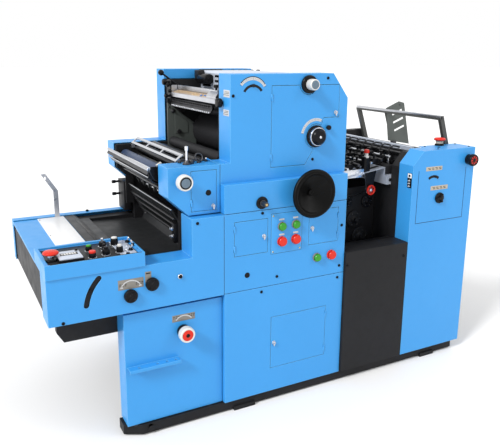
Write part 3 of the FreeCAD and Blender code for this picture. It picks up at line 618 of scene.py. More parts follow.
def addKnobs():
    faces = {"upper": upperFace, "cabinet": cabinetFace, "delivery": deliveryFace, "feeder": feederFace}
    for node, (where, slot, finishes, shells) in knobs.items():
        x, _, z = nodeCentre(node)
        face = faces[where]
        knob = Piece(node + ".turned", node, slot, *finishes)
        for finish, profile in shells:
            knob.shaped((x, face, z), towards, profile, 1.2, finish, 48)
        if node in gripped:
            r, ribs, depth, start = gripped[node]
            end = face - nodeBox(node)[0][1] - 6
            for i in range(ribs):
                turn = 2 * math.pi * i / ribs
                ribX = x + (r - depth * 0.6) * math.cos(turn)
                ribZ = z + (r - depth * 0.6) * math.sin(turn)
                knob.rod((ribX, face - start, ribZ), (ribX, face - end, ribZ), depth, 0, 6)
        if node == "impression_dial":             # graduations round the silver ring
            for i in range(40):
                knob.swing(x, z, 9 * i)
                knob.block((-0.6, face - 24 + (0 if i % 5 else 6), 41), (0.6, face - 14, 42.5), 1, 0)
        elif node == "feeder_knob":               # three wings on a boss
            for i in range(3):
                knob.swing(x, z, 30 + 120 * i)
                knob.block((-5, face - 17.8, -2), (5, face - 8, 25.5), 0, 2.5)
            knob.stand = Matrix()
            knob.shaped((x, face, z), towards, [(0, 8), (10, 8), (10, 17), (0, 17.6)], 1)
        elif node == "feeder_dial":               # black spokes on the red face
            for i in range(4):
                knob.swing(x, z, 20 + 45 * i)
                knob.block((-2.6, face - 41.2, -21), (2.6, face - 39.4, 21), 0, 0.6)
        elif node.startswith("delivery_knob"):    # finger bar
            knob.swing(x, z, 35)
            knob.block((-4, face - 17.8, -19), (4, face - 13, 19), 0, 1.6)
        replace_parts(knob.done(), node)
    print("knobs and dials turned:", len(knobs))


handwheel = {
    "shaft": 16,
    "fan": 0.9,                                   # how far the highlight spreads across the dish
    "dish": [(0, 0.6), (30, 0.6), (30, 22), (36, 30), (88, 53), (104, 53), (110, 59), (110, 67), (105, 73.4),
             (97, 75.8), (90, 73), (84, 66), (60, 54), (18, 33), (14, 31.5), (13, 36), (11, 38), (4, 38.4),
             (3, 36), (0, 36)],
}


# turned faces carry a highlight that fans out from the hub
def turnedGloss(material, amount):
    tree = material.node_tree
    shader = next(node for node in tree.nodes if node.type == "BSDF_PRINCIPLED")
    around = tree.nodes.new("ShaderNodeTangent")
    around.direction_type, around.axis = "RADIAL", "Y"
    shader.inputs["Anisotropic"].default_value = amount
    tree.links.new(around.outputs["Tangent"], shader.inputs["Tangent"])


def addHandwheel():
    turnedGloss(wheelPlastic, handwheel["fan"])
    x, _, z = nodeCentre("handwheel")
    inward = nodeBox("handwheel")[1][1] - towerFace   # the shaft reaches this far into the tower
    r = handwheel["shaft"]
    wheel = Piece("dishedHandwheel", "handwheel", "black_plastic", wheelPlastic, darkSteel)
    wheel.turned((x, towerFace, z), towards, [(0, -inward), (r - 1, -inward), (r, 1 - inward), (r, 4), (0, 4)], 1)
    wheel.shaped((x, towerFace, z), towards, handwheel["dish"], 2.2, 0, 96)
    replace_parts(wheel.done(), "handwheel")


stops = {
    "nodes": {"console_stop": (13.0, barSteel), "feeder_stop": (19.0, labelCream)},   # stem radius and finish
    "height": 42,                                 # from the panel to the top of the head
    "head": [(0, 24), (19, 24.6), (27.6, 27), (30.6, 31), (29.8, 35.4), (24.5, 39.4), (12, 41.4), (0, 41.8)],
    "collar": [(12.2, -0.5), (24, -0.5), (24, 6), (21, 8.5), (12.2, 8.5)],
}


def addStops():
    for node, (stem, stemFinish) in stops["nodes"].items():
        x, y, _ = nodeCentre(node)
        at = (x, y, nodeBox(node)[1][2] - stops["height"])
        head = Piece(node + ".head", node, "red_plastic", redPlastic, stemFinish)
        head.turned(at, upwards, [(0, -9.6), (10.8, -9.6), (10.8, 12), (0, 12)], 1)
        head.stub(at, upwards, stem, 11, 26, 1)
        head.turned(at, upwards, stops["head"], 0, 48)
        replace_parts(head.done(), node)
        collar = Piece(node + ".collar", "press", "black_plastic", blackPlastic, brightSteel)
        collar.shaped(at, upwards, stops["collar"], 1, 0, 40)
        collar.done()


scales = {
    "pressure": [(86, 1263), (150, 1321.7), (186, 1316)],     # round the big dial
    "inking": [(-222, 1480), (-166, 1506), (-108, 1474)],
    "inkSlot": [(-206, 1452), (-165, 1477), (-124, 1454)],
    "half": 6.4, "slotHalf": 5.5, "borderHalf": 1.5,
    "lines": 17,
}


# curved scale with its graduations
def addScale(piece, first, middle, last):
    face, half = upperFace, scales["half"]
    piece.plate(arcBand(first, middle, last, half), 1, face + 0.5, face - 0.8)
    (x, z), radius, turns = arcThrough(first, middle, last, scales["lines"])
    for i, turn in enumerate(turns):
        long = half * (0.75 if i % 4 == 0 else 0.35)
        piece.swing(x, z, -math.degrees(turn))
        piece.dash(radius - long, -0.45, radius + long, 0.45, face, 1)
    piece.stand = Matrix()


def addScales():
    s = scales
    scale = Piece("dialScale", "upper_door", "white_plastic", labelWhite, blackPaint)
    addScale(scale, *s["pressure"])
    scale.done()
    scale = Piece("inkScale", "press", "white_plastic", labelWhite, blackPaint)
    addScale(scale, *s["inking"])
    top = [(x, z + s["half"] + s["borderHalf"]) for x, z in s["inking"]]
    scale.plate(arcBand(*top, s["borderHalf"]), 1, upperFace + 0.5, upperFace - 1.0, 1)
    scale.plate(arcBand(*s["inkSlot"], s["slotHalf"]), 1, upperFace + 0.5, upperFace - 0.4, 1)
    x, z = s["inkSlot"][1]
    scale.stub((x, upperFace, z), towards, 7, -1, 9, 1, 20)
    scale.done()


addCoverBolts()
addLatches()
addButtonPanel()
addKnobs()
addHandwheel()
addStops()
addScales()
print("cover hardware fitted")


# small parts of the near covers: plugs, little knobs and the side shaft
sideParts = {
    "shaft": (-138, 978),
    "clampKnob": (220, 1284),
    "plugs": [(-207, 656, towerFace), (-373, 1038, upperFace)],
    "stripEdge": -270.0,                          # front edge of the inking section
    "stripKnob": (-374, 1403),
    "stripLabels": [(-416, 1444, 58, 30), (-412, 1364, 54, 26)],     # y, z, width and height
}


def addSideParts():
    shaft = Piece("sideShaft", "press", "bright_steel", darkSteel, blackPlastic, brass)
    x, z = sideParts["shaft"]
    shaft.shaped((x, towerFace, z), towards, [(0, -1), (28, -1), (28, 5), (22, 9), (0, 9)], 1.2, 1, 40)
    shaft.shaped((x, towerFace, z), towards, [(0, 8), (14, 8), (14, 13), (11, 13), (11, 44), (0, 44)], 1.2)
    shaft.turned((x, towerFace, z), towards, [(0, 43), (5.5, 43), (5, 45), (0, 45)], 2, 20)
    shaft.done()
    knob = Piece("clampKnob", "press", "black_plastic", blackPlastic)
    x, z = sideParts["clampKnob"]
    knob.shaped((x, upperFace, z), towards, [(0, -1), (7, -1), (7, 5), (11, 7), (11, 17), (8, 19), (0, 19)],
                1.2, 0, 24)
    knob.done()
    plugs = Piece("rubberPlugs", "press", "black_plastic", blackPlastic)
    for x, z, face in sideParts["plugs"]:
        plugs.shaped((x, face, z), towards, [(0, -1), (12.5, -1), (12.5, 1.6), (9, 3), (5, 2), (0, 2)], 0.8, 0, 28)
    plugs.done()
    edge = sideParts["stripEdge"]
    strip = Piece("stripParts", "press", "white_plastic", labelWhite, blackPlastic, blackPaint)
    for y, z, wide, high in sideParts["stripLabels"]:
        strip.block((edge - 0.8, y - wide / 2, z - high / 2), (edge + 0.5, y + wide / 2, z + high / 2), 0, 0.2)
        for line in (-6, 1, 7):
            strip.block((edge - 1.1, y - wide / 2 + 6, z + line - 1),
                        (edge - 0.7, y + wide / 2 - 6 - line, z + line + 1), 2, 0)
    strip.shaped((edge, *sideParts["stripKnob"]), (-1, 0, 0), [
        (0, -1), (8, -1), (8, 6), (20, 8), (20, 24), (16, 28), (0, 28)], 1.4, 1)
    strip.done()


# ink train: rollers between the side plates, each (x, z, radius, finish)
inkTrain = {
    "rollers": [(-188, 1400, 24, "steel"), (-148, 1366, 26, "rubber"), (-108, 1404, 28, "steel"),
                (-118, 1330, 22, "rubber"), (-30, 1466, 26, "rubber"), (28, 1476, 24, "steel"),
                (84, 1466, 27, "rubber"), (142, 1474, 24, "rubber"), (-20, 1400, 36, "steel"),
                (60, 1400, 34, "rubber"), (140, 1400, 36, "steel"), (10, 1328, 26, "rubber"),
                (92, 1330, 26, "rubber"), (228, 1470, 18, "steel"), (262, 1440, 14, "steel")],
    "journal": 8,
    "half": innerSide - 6,
    "keys": 22,
    "keyStart": -196, "keyEnd": 296,
}


def addInkTrain():
    finishes = {"steel": 0, "rubber": 1}
    train = Piece("inkRollers", "press", "bright_steel", barSteel, rubber, darkSteel)
    for x, z, r, kind in inkTrain["rollers"]:
        train.roller(x, z, r, inkTrain["journal"], 16, inkTrain["half"], finishes[kind])
    train.done()
    # key bar under the duct: a dark rail with a bright tooth for each key
    keys = Piece("inkKeys", "press", "bright_steel", barSteel, darkSteel, blackPlastic)
    start, end, count = inkTrain["keyStart"], inkTrain["keyEnd"], inkTrain["keys"]
    keys.block((-243, start - 8, 1362), (-231, end + 8, 1378), 1, 1.5)
    keys.plate([(-250, 1344), (-240, 1344), (-231, 1362), (-243, 1362)], 1, start - 8, end + 8, 1, 1)
    for i in range(count):
        y = start + (end - start) * (i + 0.5) / count
        keys.block((-252, y - 6, 1340), (-244, y + 6, 1348), 0, 1)
        keys.shaped((-243, y, 1370), (-1, 0, 0.1), [(0, -2), (2.6, -2), (2.6, 5), (4.6, 6), (4.6, 11), (0, 11)],
                    0.6, 2, 12)
    keys.done()


trough = {
    "bead": [(-262, 1409), (-240, 1402), (-226, 1412), (-223, 1424), (-236, 1418), (-252, 1414)],
    "lumps": 9, "blueLumps": 4,
    "handleInset": 54,                            # clear of the ink lever as it swings
    "handles": [(8, 1462, 15, 36), (-12, 1449, 11, 24), (4, 1392, 10, 28), (-20, 1418, 8, 18)],
}


def addTrough():
    low, high = nodeBox("ink_trough")
    y0, y1 = low[1] + 116, high[1] - 45
    # the ink lies as a heavy bead against the duct, with a smear of colour at its near end
    ink = Piece("ductInk", "press", "plate_paint", inkTan, inkBlue)
    ink.plate(softened(trough["bead"], 3), 1, y0, y1, 0, 1.5)
    for i in range(trough["lumps"]):
        y = y0 + 30 + i * 22 + random.uniform(-6, 6)
        x = random.uniform(-250, -234)
        ink.shaped((x, y, 1411), upwards, [(0, 0), (9, 0), (7, random.uniform(6, 10)), (0, 11)],
                   2, 1 if i < trough["blueLumps"] else 0, 14)
    ink.done()
    ends = Piece("ductBlocks", "press", "bright_steel", barSteel, blackPlastic, darkSteel)
    ends.block((-268, low[1] + 2, 1446), (-222, low[1] + 114, 1450), 0, 1)
    for y in (low[1] + 22, low[1] + 92):
        ends.bolt((-245, y, 1450), upwards, 5.5, 4, 2)
    ends.shaped((-245, low[1] + 57, 1450), upwards, [
        (0, -1), (5, -1), (5, 8), (13, 10), (13, 20), (10, 23), (0, 23)], 1.2, 1, 26)
    # cluster of black handles where the duct meets the far side plate
    far = high[1] - trough["handleInset"]
    for y, z, r, out in trough["handles"]:
        ends.shaped((-268, far + y, z), (-1, 0, 0), [
            (0, -2), (5, -2), (5, out - 18), (r, out - 15), (r + 1, out - 4), (r - 3, out), (0, out + 1)],
            1.5, 1, 22)
    ends.plate([(far - 26, 1380), (far + 22, 1380), (far + 22, 1476), (far - 26, 1476)], 0, -274, -268, 1, 1)
    ends.done()


innerPlates = {
    "corners": [(-256, 1098), (-116, 1098), (-256, 1330), (-120, 1234)],
    "gears": [(-20, 1400, 40), (60, 1400, 38), (140, 1400, 40), (-188, 1330, 30)],   # x, z, radius
    "tieBars": [(-160, 1120, 9), (250, 1385, 8)],
}


def addInnerPlates():
    wall = Piece("farInnerPlate", "press", "plate_paint", greenGreyPaint, darkSteel, brightSteel)
    y = innerSide
    wall.plate([(-266, 1086), (-104, 1086), (-104, 1236), (-262, 1352), (-266, 1352)], 1, y - 7, y - 1, 0, 1.2)
    wall.plate([(-226, 1190), (-150, 1190), (-150, 1246), (-226, 1302)], 1, y - 9, y - 6.5, 0, 0.8)
    for x, z in innerPlates["corners"]:
        wall.bolt((x, y - 7, z), towards, 5, 3.5, 1)
    wall.shaped((-236, y - 7, 1310), towards, [(0, 0), (12, 0), (12, 5), (5, 7), (5, 12), (0, 12)], 1, 1, 30)
    wall.stub((-204, y - 7, 1200), towards, 12, 0, 10, 1, 24)
    wall.done()
    # toothed wheels on the roller ends, inside the near and far plates, and two tie bars
    drive = Piece("towerGears", "press", "bright_steel", darkSteel, brightSteel)
    for x, z, r in innerPlates["gears"]:
        outline = toothed(x, z, r, int(r * 0.9), 2.6, -1.2)
        for side in (-1, 1):
            drive.plate(outline, 1, side * (innerSide - 2), side * (innerSide - 5.8), 0)
    for x, z, r in innerPlates["tieBars"]:
        drive.across(x, z, r, 0)
    drive.done()


addSideParts()
addInkTrain()
addTrough()
addInnerPlates()

topParts = {
    "lining": [(-90, 1110), (325, 1110), (325, 1414), (243, 1523), (-90, 1523)],
    "shaftEnds": [(120, 318, 12), (160, 316, 9), (200, 320, 13), (240, 316, 9), (278, 318, 12)],   # x, y, radius
    "tieBars": [(222, 1492, 9), (248, 1486, 7), (284, 1462, 9), (304, 1420, 8)],                   # x, z, radius
    "collars": 9,
}


# black drive cover on the far side plate, roller ends and the parts behind the flat guard
def addTopParts():
    top = Piece("topParts", "press", "black_paint", blackPaint, blackPlastic, darkSteel, bluePaint)
    # dark lining that closes the corner behind the open upper door
    top.plate(topParts["lining"], 1, -344, -341, 0, 0.5)
    top.block((-108, 262, 1474), (-72, 316, 1520), 0, 3)
    top.block((-72, 318, 1474), (60, 338, 1523), 0, 3)
    top.shaped((-92, 150, 1478), away, [
        (0, 0), (10, 0), (10, 6), (26, 6), (26, 110), (10, 110), (0, 110)], 1.5, 1, 32)
    for x, y, r in topParts["shaftEnds"]:
        top.shaped((x, y, 1474), upwards, [
            (0, -2), (r * 0.6, -2), (r * 0.6, 24), (r, 26), (r, 40), (r * 0.7, 46), (0, 46)], 1.5, 1, 24)
    top.block((110, 300, 1484), (292, 312, 1500), 3, 2)
    for x, z, r in topParts["tieBars"]:
        top.across(x, z, r, 2)
    for i in range(topParts["collars"]):
        top.stub((248, -270 + 62 * i, 1486), away, 18, 0, 14, 1, 26, soft=1.5)
    top.done()


addTopParts()
print("inking section fitted")


damping = {
    # (x, z, radius, finish number, near end inset)
    "rollers": [(-548, 1106, 13, 0, 40), (-502, 1100, 25, 1, 14), (-398, 1118, 24, 2, 10), (-440, 1128, 9, 4, 10),
                (-352, 1096, 24, 2, 10), (-346, 1142, 16, 4, 10), (-298, 1112, 30, 2, 10), (-238, 1150, 26, 2, 10)],
    "journal": 7,
    "wingNuts": [(-566, 1122), (-490, 1136)],
    "ring": (-386, -384, 1178),                   # middle of the open ring
    "linkRod": [(-470, -356, 1158), (-452, -352, 1170), (-430, -354, 1166), (-410, -350, 1160),
                (-382, -352, 1166), (-356, -350, 1160), (-330, -352, 1158)],
    "studs": [(-462, -360, 6, 12), (-404, -362, 7, 10), (-372, -356, 8, 14), (-344, -362, 6, 8)],
}


def addDamping():
    rollers = Piece("dampingRollers", "press", "bright_steel", chromePlate, blueRubber, rubber, barSteel, darkSteel)
    for x, z, r, finish, inset in damping["rollers"]:
        rollers.roller(x, z, r, damping["journal"], inset, innerSide - 2, finish)
    rollers.done()
    trim = Piece("dampingTrim", "press", "bright_steel", brightSteel, darkSteel, blackPlastic, whitePlastic)
    # polished front lip of the water pan and the bars below it
    lip = nodeBox("damping_tray")[0][0] + 9
    trim.rod((lip, -innerSide + 2, 1129), (lip, innerSide - 2, 1129), 7.5, 0)
    trim.plate([(-588, 1096), (-570, 1072), (-500, 1040), (-500, 1044), (-568, 1076), (-585, 1098)], 1,
               -innerSide + 2, innerSide - 2, 1)
    trim.beam(-590, 1094, -586, 1098.5, 0, 0.8)
    trim.across(-512, 1030, 7, 1)
    trim.across(-470, 1002, 7, 1)
    # near end plate with two wing nuts and the tilted spring
    y = -innerSide + 1
    trim.plate([(-590, 1092), (-575, 1140), (-520, 1140), (-470, 1152), (-470, 1092), (-520, 1062)], 1,
               y, y + 6, 2, 1)
    for x, z in damping["wingNuts"]:
        trim.stub((x, y + 6, z), away, 6, 0, 8, 0, 20)
        for lean in (-1, 1):
            trim.plate([(x, z - 2), (x + lean * 13, z + 8), (x + lean * 11, z + 14), (x, z + 5)], 1,
                       y + 8, y + 12, 0, 0.8)
    trim.spring((-545, y + 16, 1140), (-520, y + 26, 1150), 5, 1.4, 7, 3)
    trim.done()
    # vertical adjusting pin at the near corner, with its collar, ring and link rod
    pin = Piece("adjustingPin", "press", "bright_steel", chromePlate, darkSteel)
    pin.rod((-448, -400, 1150), (-448, -400, 1226), 4.6, 0)
    pin.shaped((-448, -400, 1155), upwards, [(0, -1), (17, -1), (17, 6), (10, 10), (7, 18), (0, 18)], 1, 1)
    pin.shaped((-448, -400, 1214), upwards, [(0, 0), (7.5, 0), (7.5, 16), (5, 19), (0, 19)], 1.2, 0, 20)
    pin.shaped((-424, -392, 1155), upwards, [(0, -1), (12, -1), (12, 16), (8, 20), (0, 20)], 1, 1)
    x, y, z = damping["ring"]
    turns = [math.radians(a) for a in range(-60, 241, 15)]
    pin.bent([(x + 17 * math.cos(t), y + 6 * math.sin(t), z + 17 * math.sin(t)) for t in turns], 3.4, 1)
    pin.stub((x, y, 1155), upwards, 9, -1, 6, 1)
    pin.rod((-352, -380, 1172), (-326, -366, 1160), 4, 0)
    pin.bent(damping["linkRod"], 3.5, 1)
    for x, y, r, high in damping["studs"]:
        pin.shaped((x, y, 1155), upwards, [(0, -1), (r, -1), (r, high), (0, high + 1)], 1, 1, 20)
    pin.done()
    # black pins and their plate at the far side, below the rollers
    far = Piece("farPins", "press", "black_paint", blackPaint, blackPlastic, darkSteel)
    far.plate([(-505, 838), (-462, 838), (-462, 985), (-505, 985)], 1, innerSide - 8, innerSide - 1, 0, 1)
    far.block((-506, 344, 790), (-467.5, 451, 946), 0, 3)
    for z in (934, 868):
        far.shaped((-500, 426, z), (-1, 0, 0), [
            (0, -6), (6, -6), (6, 26), (9, 28), (9, 44), (7, 47), (0, 47)], 1.2, 1, 24)
    far.spring((-474, innerSide - 24, 900), (-420, innerSide - 60, 790), 7, 1.6, 16, 2)
    far.done()


deliveryRibs = {
    "count": 19, "first": -288, "pitch": 32, "half": 4,
    "crossBars": [(-476, 900), (-455, 858), (-434, 816)],
    "creases": [-757, -700, -640, -580, -520],
    "rollers": [(-380, 830, 26), (-352, 900, 30), (-330, 800, 20)],
    "guides": 7,
}


def addDeliveryRibs():
    d = deliveryRibs
    ribs = Piece("boardRibs", "press", "black_paint", boardPaint, barSteel, darkSteel, blackPlastic)
    # pressed ribs up the curved end of the delivery board
    for i in range(d["count"]):
        y = d["first"] + d["pitch"] * i
        ribs.plate([(-407.5, 790), (-487, 938), (-490.5, 936.5), (-411, 786)], 1,
                   y - d["half"], y + d["half"], 0, 0.8)
    ribs.across(-489, 943, 2.6, 1, 3)
    for x, z in d["crossBars"]:
        ribs.across(x, z, 5, 2, 3)
    # black end bracket with two bright bolts
    near = -innerSide + 2
    ribs.block((-478, near, 790), (-424, near + 32, 880), 3, 3)
    for z in (818, 852):
        ribs.shaped((-478, near + 16, z), (-1, 0, 0.3), [
            (0, -2), (9, -2), (9, 6), (5, 8), (5, 14), (0, 14)], 1, 1, 6)
    # creases of the flat part
    board = nodeBox("delivery_board")[0][2]
    for x in d["creases"]:
        ribs.block((x - 2, -330, board + 4), (x + 2, 330, 750), 2, 0.6)
    # transfer rollers and the paper guides above the board
    for x, z, r in d["rollers"]:
        ribs.roller(x, z, r, 7, 10, innerSide - 2, 2, 1.2, 36)
    ribs.across(-440, 968, 8, 1)
    ribs.across(-392, 962, 8, 1)
    for i in range(d["guides"]):
        ribs.stub((-440, -240 + 80 * i, 968), away, 17, 0, 14, 0, 24, soft=1.2)
    ribs.done()


addDamping()
addDeliveryRibs()
print("damping unit and delivery board fitted")


consoleParts = {
    "plate": (-1038, -484, -690, -276),
    "counter": (-1000, -475, -905, -370),
    # x, y, finish and radius of the cap, radius and height of the body, height of the cap
    "controls": [(-864, -366, 2, 10, 13, 22, 6), (-870, -455, 3, 13, 14, 22, 9), (-799, -330, 1, 6, 15, 22, 16),
                 (-813, -441, 0, 9, 15, 26, 9), (-749, -330, 4, 12, 16, 30, 6), (-756, -434, 4, 9, 14, 26, 9),
                 (-806, -386, 0, 7, 11, 18, 12)],
    "toggles": [(-735, -480), (-708, -426), (-682, -371), (-690, -317)],
    "toggleReach": 18,
}


def addConsoleParts():
    low, high = nodeBox("console_box")
    z = high[2] - 10                              # floor of the shallow panel recess
    left, front, right, back = consoleParts["plate"]
    panel = Piece("consolePlate", "press", "black_paint", boardPaint, zincPlate, darkSteel)
    panel.block((left, front, z - 0.4), (right, back, z + 1.2), 0, 0.4)
    panel.block((right - 70, front + 4, z + 1), (right - 4, back - 4, z + 2), 1, 0.4)
    for x in (left + 8, (left + right) / 2, right - 8):
        for y in (front + 7, back - 7):
            panel.bolt((x, y, z + 1.2), upwards, 3, 1.8, 2)
    panel.done()
    top = z + 1.2
    x0, y0, x1, y1 = consoleParts["counter"]
    parts = Piece("consoleControls", "press", "black_plastic", blackPlastic, barSteel, greenPlastic, redPlastic,
                  whitePlastic, zincPlate)
    # counter: black case, silver face, a narrow window of number wheels and its reset stub
    parts.block((x0, y0, top - 0.5), (x1, y1, top + 12), 0, 2)
    parts.block((x0 + 3, y0 + 5, top + 11), (x1 - 3, y1 - 3, top + 17), 5, 1.5)
    parts.block((x0 + 14, y0 + 46, top + 16), (x1 - 14, y1 - 34, top + 18), 0, 0.8)
    for i in range(6):
        x = x0 + 18 + 10 * i
        parts.block((x, y0 + 50, top + 17.4), (x + 7.6, y1 - 38, top + 18.6), 4, 0.4)
    parts.stub((x1 - 12, y1 - 14, top + 16), upwards, 6, 0, 8, 0, 20)
    # each control: black body on a bright ring, with a coloured cap of its own height
    for x, y, cap, capRadius, r, tall, capTall in consoleParts["controls"]:
        parts.stub((x, y, top), upwards, r + 3, -0.5, 3, 1, 30, soft=0.8)
        parts.shaped((x, y, top), upwards, [(0, 2), (r, 2), (r, tall * 0.6), (r - 1.5, tall), (0, tall)],
                     1.2, 0, 30)
        parts.shaped((x, y, top + tall - 0.5), upwards, [
            (0, 0), (capRadius, 0), (capRadius, capTall - 1), (capRadius - 2, capTall), (0, capTall)], 1, cap, 30)
    reach = consoleParts["toggleReach"]
    for i, (x, y) in enumerate(consoleParts["toggles"]):
        lean = 1 if i % 2 else -1
        line = Vector((lean * 0.45, -0.25 * lean, 1)).normalized()
        parts.shaped((x, y, top + 1), upwards, [(0, -0.5), (10, -0.5), (10, 3), (7, 5), (7, 9), (0, 9)], 0.8, 0, 22)
        parts.shaped((x, y, top + 8), line, [(0, 0), (2.6, 0), (4.4, reach - 5), (3.6, reach), (0, reach)],
                     0.8, 1, 18)
        parts.stub((x - 24, y + 6, top + 1), upwards, 5, -0.5, 4, 1, 18, soft=0.8)
    parts.done()
    edge = Piece("consoleEdge", "press", "black_plastic", rubber)
    edge.block((left, low[1] + 1.5, high[2] - 2), (right + 8, low[1] + 6, high[2] + 0.8), 0, 0.8)
    edge.done()


deliveryParts = {
    "whitePlate": (-945, -252, -815, 398),
    "greyPlate": (-815, -252, -760, 398),
    "farBolts": [(-683, 436), (-487, 436)],
    "endBolts": [(-360, 606), (-360, 752), (392, 606), (392, 752)],
    "arcInner": [(-912, 647), (-893, 705), (-859, 752)],
}


def addDeliveryParts():
    d = deliveryParts
    _, plateTop = nodeBox("delivery_top_plate")
    z = plateTop[2]
    sheets = Piece("deliveryPlates", "press", "white_plastic", whitePaint, boardPaint, darkSteel, slatePaint,
                   blackPlastic)
    a = d["whitePlate"]
    sheets.block((a[0], a[1], z - 0.5), (a[2], a[3], z + 2.5), 0, 0.8)
    b = d["greyPlate"]
    sheets.block((b[0] + 4, b[1], z - 3), (b[2] - 10, b[3], z + 2), 3, 0.8)
    sheets.block((b[2] - 13, b[1], z + 1), (b[2] - 3, b[3], z + 2.8), 4, 0.4)
    sheets.block((b[2] - 6, b[1], z - 8), (b[2] + 8, b[3], z - 1), 1, 0.8)
    sheets.block((b[2] + 14, -338, z - 12), (b[2] + 60, 338, z - 6), 3, 0.8)
    for y in (a[1] + 30, (a[1] + a[3]) / 2, a[3] - 30):
        sheets.bolt((a[0] + 8, y, z + 2.5), upwards, 3.4, 1.6, 2)
    sheets.done()
    bolts = Piece("deliveryBolts", "press", "black_paint", blackPlastic, barSteel)
    farTop = nodeBox("delivery_cover_far")
    for x, y in d["farBolts"]:
        bolts.shaped((x, y, 785), upwards, [(0, -1), (8, -1), (8, 7), (5, 9), (0, 9)], 1, 0, 24)
    for y, zz in d["endBolts"]:
        bolts.bolt((farTop[0][0] + 6, y, zz), (-1, 0, 0), 6.5, 5)
    # lock nut with a bright washer over the left knob
    bolts.stub((-522, deliveryFace, 704), towards, 11, -1, 2, 1, 28, soft=0.8)
    bolts.shaped((-522, deliveryFace, 704), towards, [(0, 1), (9, 1), (9, 7), (6, 8.5), (0, 8.5)], 1, 0, 6)
    bolts.done()
    # dark plate and stud behind the curved slot
    slot = Piece("slotBack", "press", "black_paint", blackPaint, blackPlastic)
    slot.plate([(-950, 625), (-830, 625), (-830, 768), (-950, 768)], 1, deliveryFace + 6, deliveryFace + 9, 0, 0.5)
    x, zz = d["arcInner"][1]
    slot.stub((x, deliveryFace + 6, zz), towards, 7.5, -1, 6, 1, 24)
    slot.done()
    labels = Piece("deliveryLabels", "press", "white_plastic", labelGrey, labelWhite, blackPaint)
    labels.label(-785, 673 + 14, -680, 729, deliveryFace)
    labels.plate(arcBand((-772, 700), (-733, 722), (-694, 700), 2.2), 1, deliveryFace - 0.4, deliveryFace - 1.2, 1)
    labels.plate([(-778, 694), (-764, 694), (-771, 704)], 1, deliveryFace - 0.4, deliveryFace - 1.2, 1)
    labels.plate([(-701, 694), (-687, 694), (-694, 704)], 1, deliveryFace - 0.4, deliveryFace - 1.2, 1)
    labels.label(-673, 701, -647, 748, deliveryFace)
    labels.dash(-669, 738, -651, 743, deliveryFace, 2)
    labels.label(-553, 492, -449, 522, cabinetFace)
    labels.plate(arcBand((-536, 499), (-501, 516), (-466, 499), 2.2), 1, cabinetFace - 0.4, cabinetFace - 1.2, 1)
    # short dark and pale dashes either side of the arrows
    for x0, z0, face in ((-781, 690, deliveryFace), (-549, 495, cabinetFace)):
        for i in range(9):
            x = x0 + 11.4 * i
            if 2 < i < 6:
                continue
            labels.dash(x, z0 + 12, x + 6, z0 + 15, face, 2)
            labels.dash(x + 1, z0 + 19, x + 8, z0 + 22, face, 2)
    labels.done()


undersideParts = {
    "sprockets": [(-640, 620, 30), (-420, 560, 44), (-905, 622, 30)],     # x, z, radius
    "shafts": [-960, -640, -400],
    "motor": (-480, 190), "fins": 14,
    "levelBolts": [(-727, -462), (-381, -462), (-381, 462), (420, -462), (1060, -462), (420, 462), (1060, 462)],
}


# chains and cross shafts of the delivery, seen under its covers
def addUnderside():
    u = undersideParts
    under = Piece("deliveryChain", "press", "black_paint", blackPaint, darkSteel, blackPlastic)
    for x, z, r in u["sprockets"]:
        outline = toothed(x, z, r, int(r / 2.2), 3.5, -2.5)
        for y in (-300, 300):
            under.plate(outline, 1, y - 4, y + 4, 1)
            under.stub((x, y - 10, z), away, r * 0.4, 0, 20, 0, 26)
        under.rod((x, -330, z), (x, 330, z), 12, 1)
    for x in u["shafts"]:
        under.rod((x, -372, 620), (x, 372, 620), 9, 1)
    under.block((-560, -330, 64), (-340, -250, 330), 0, 5)
    under.block((-505, 160, 64), (-345, 320, 250), 0, 6)
    x, z = u["motor"]
    under.shaped((x, 160, z), towards, [(0, 0), (58, 0), (62, 8), (62, 170), (54, 182), (0, 182)], 3, 2, 40)
    for i in range(u["fins"]):
        under.swing(x, z, 360 * i / u["fins"])
        under.block((-3, 10, 58), (3, 150, 68), 2, 1)
    under.stand = Matrix()
    under.done()
    base = Piece("levelBolts", "press", "black_paint", darkSteel, blackPaint)
    baseLow, baseHigh = nodeBox("base_frame")
    for x, y in u["levelBolts"]:
        base.stub((x, y, baseHigh[2]), upwards, 12, -1, 2, 0, 26, soft=0.8)
        base.stub((x, y, baseHigh[2]), upwards, 9, 1, 2.6, 0, 6, soft=0.8)
    base.turned((-665, baseLow[1], 30), towards, [(0, -1), (14, -1), (14, 0.5), (0, 0.5)], 1, 26)
    base.done()


addConsoleParts()
addDeliveryParts()
addUnderside()
print("console and delivery fitted")


columnParts = {
    "labels": [(790, 1042, 898, 1063), (830, 940, 946, 962)],
    "slot": [(812, 1002), (845, 1012), (878, 1001)],
    "seams": [(742.8, 774.8, 745.2, 1046), (742.8, 774.8, 1065, 777.2), (1063.8, 774.8, 1066.2, 1046)],
    "switchPlate": (-500, 962, -470, 1036),
    "deckBolts": [(884, -386, 5), (1098, -386, 5), (884, -482, 5), (1098, -482, 5), (930, -440, 8)],
}


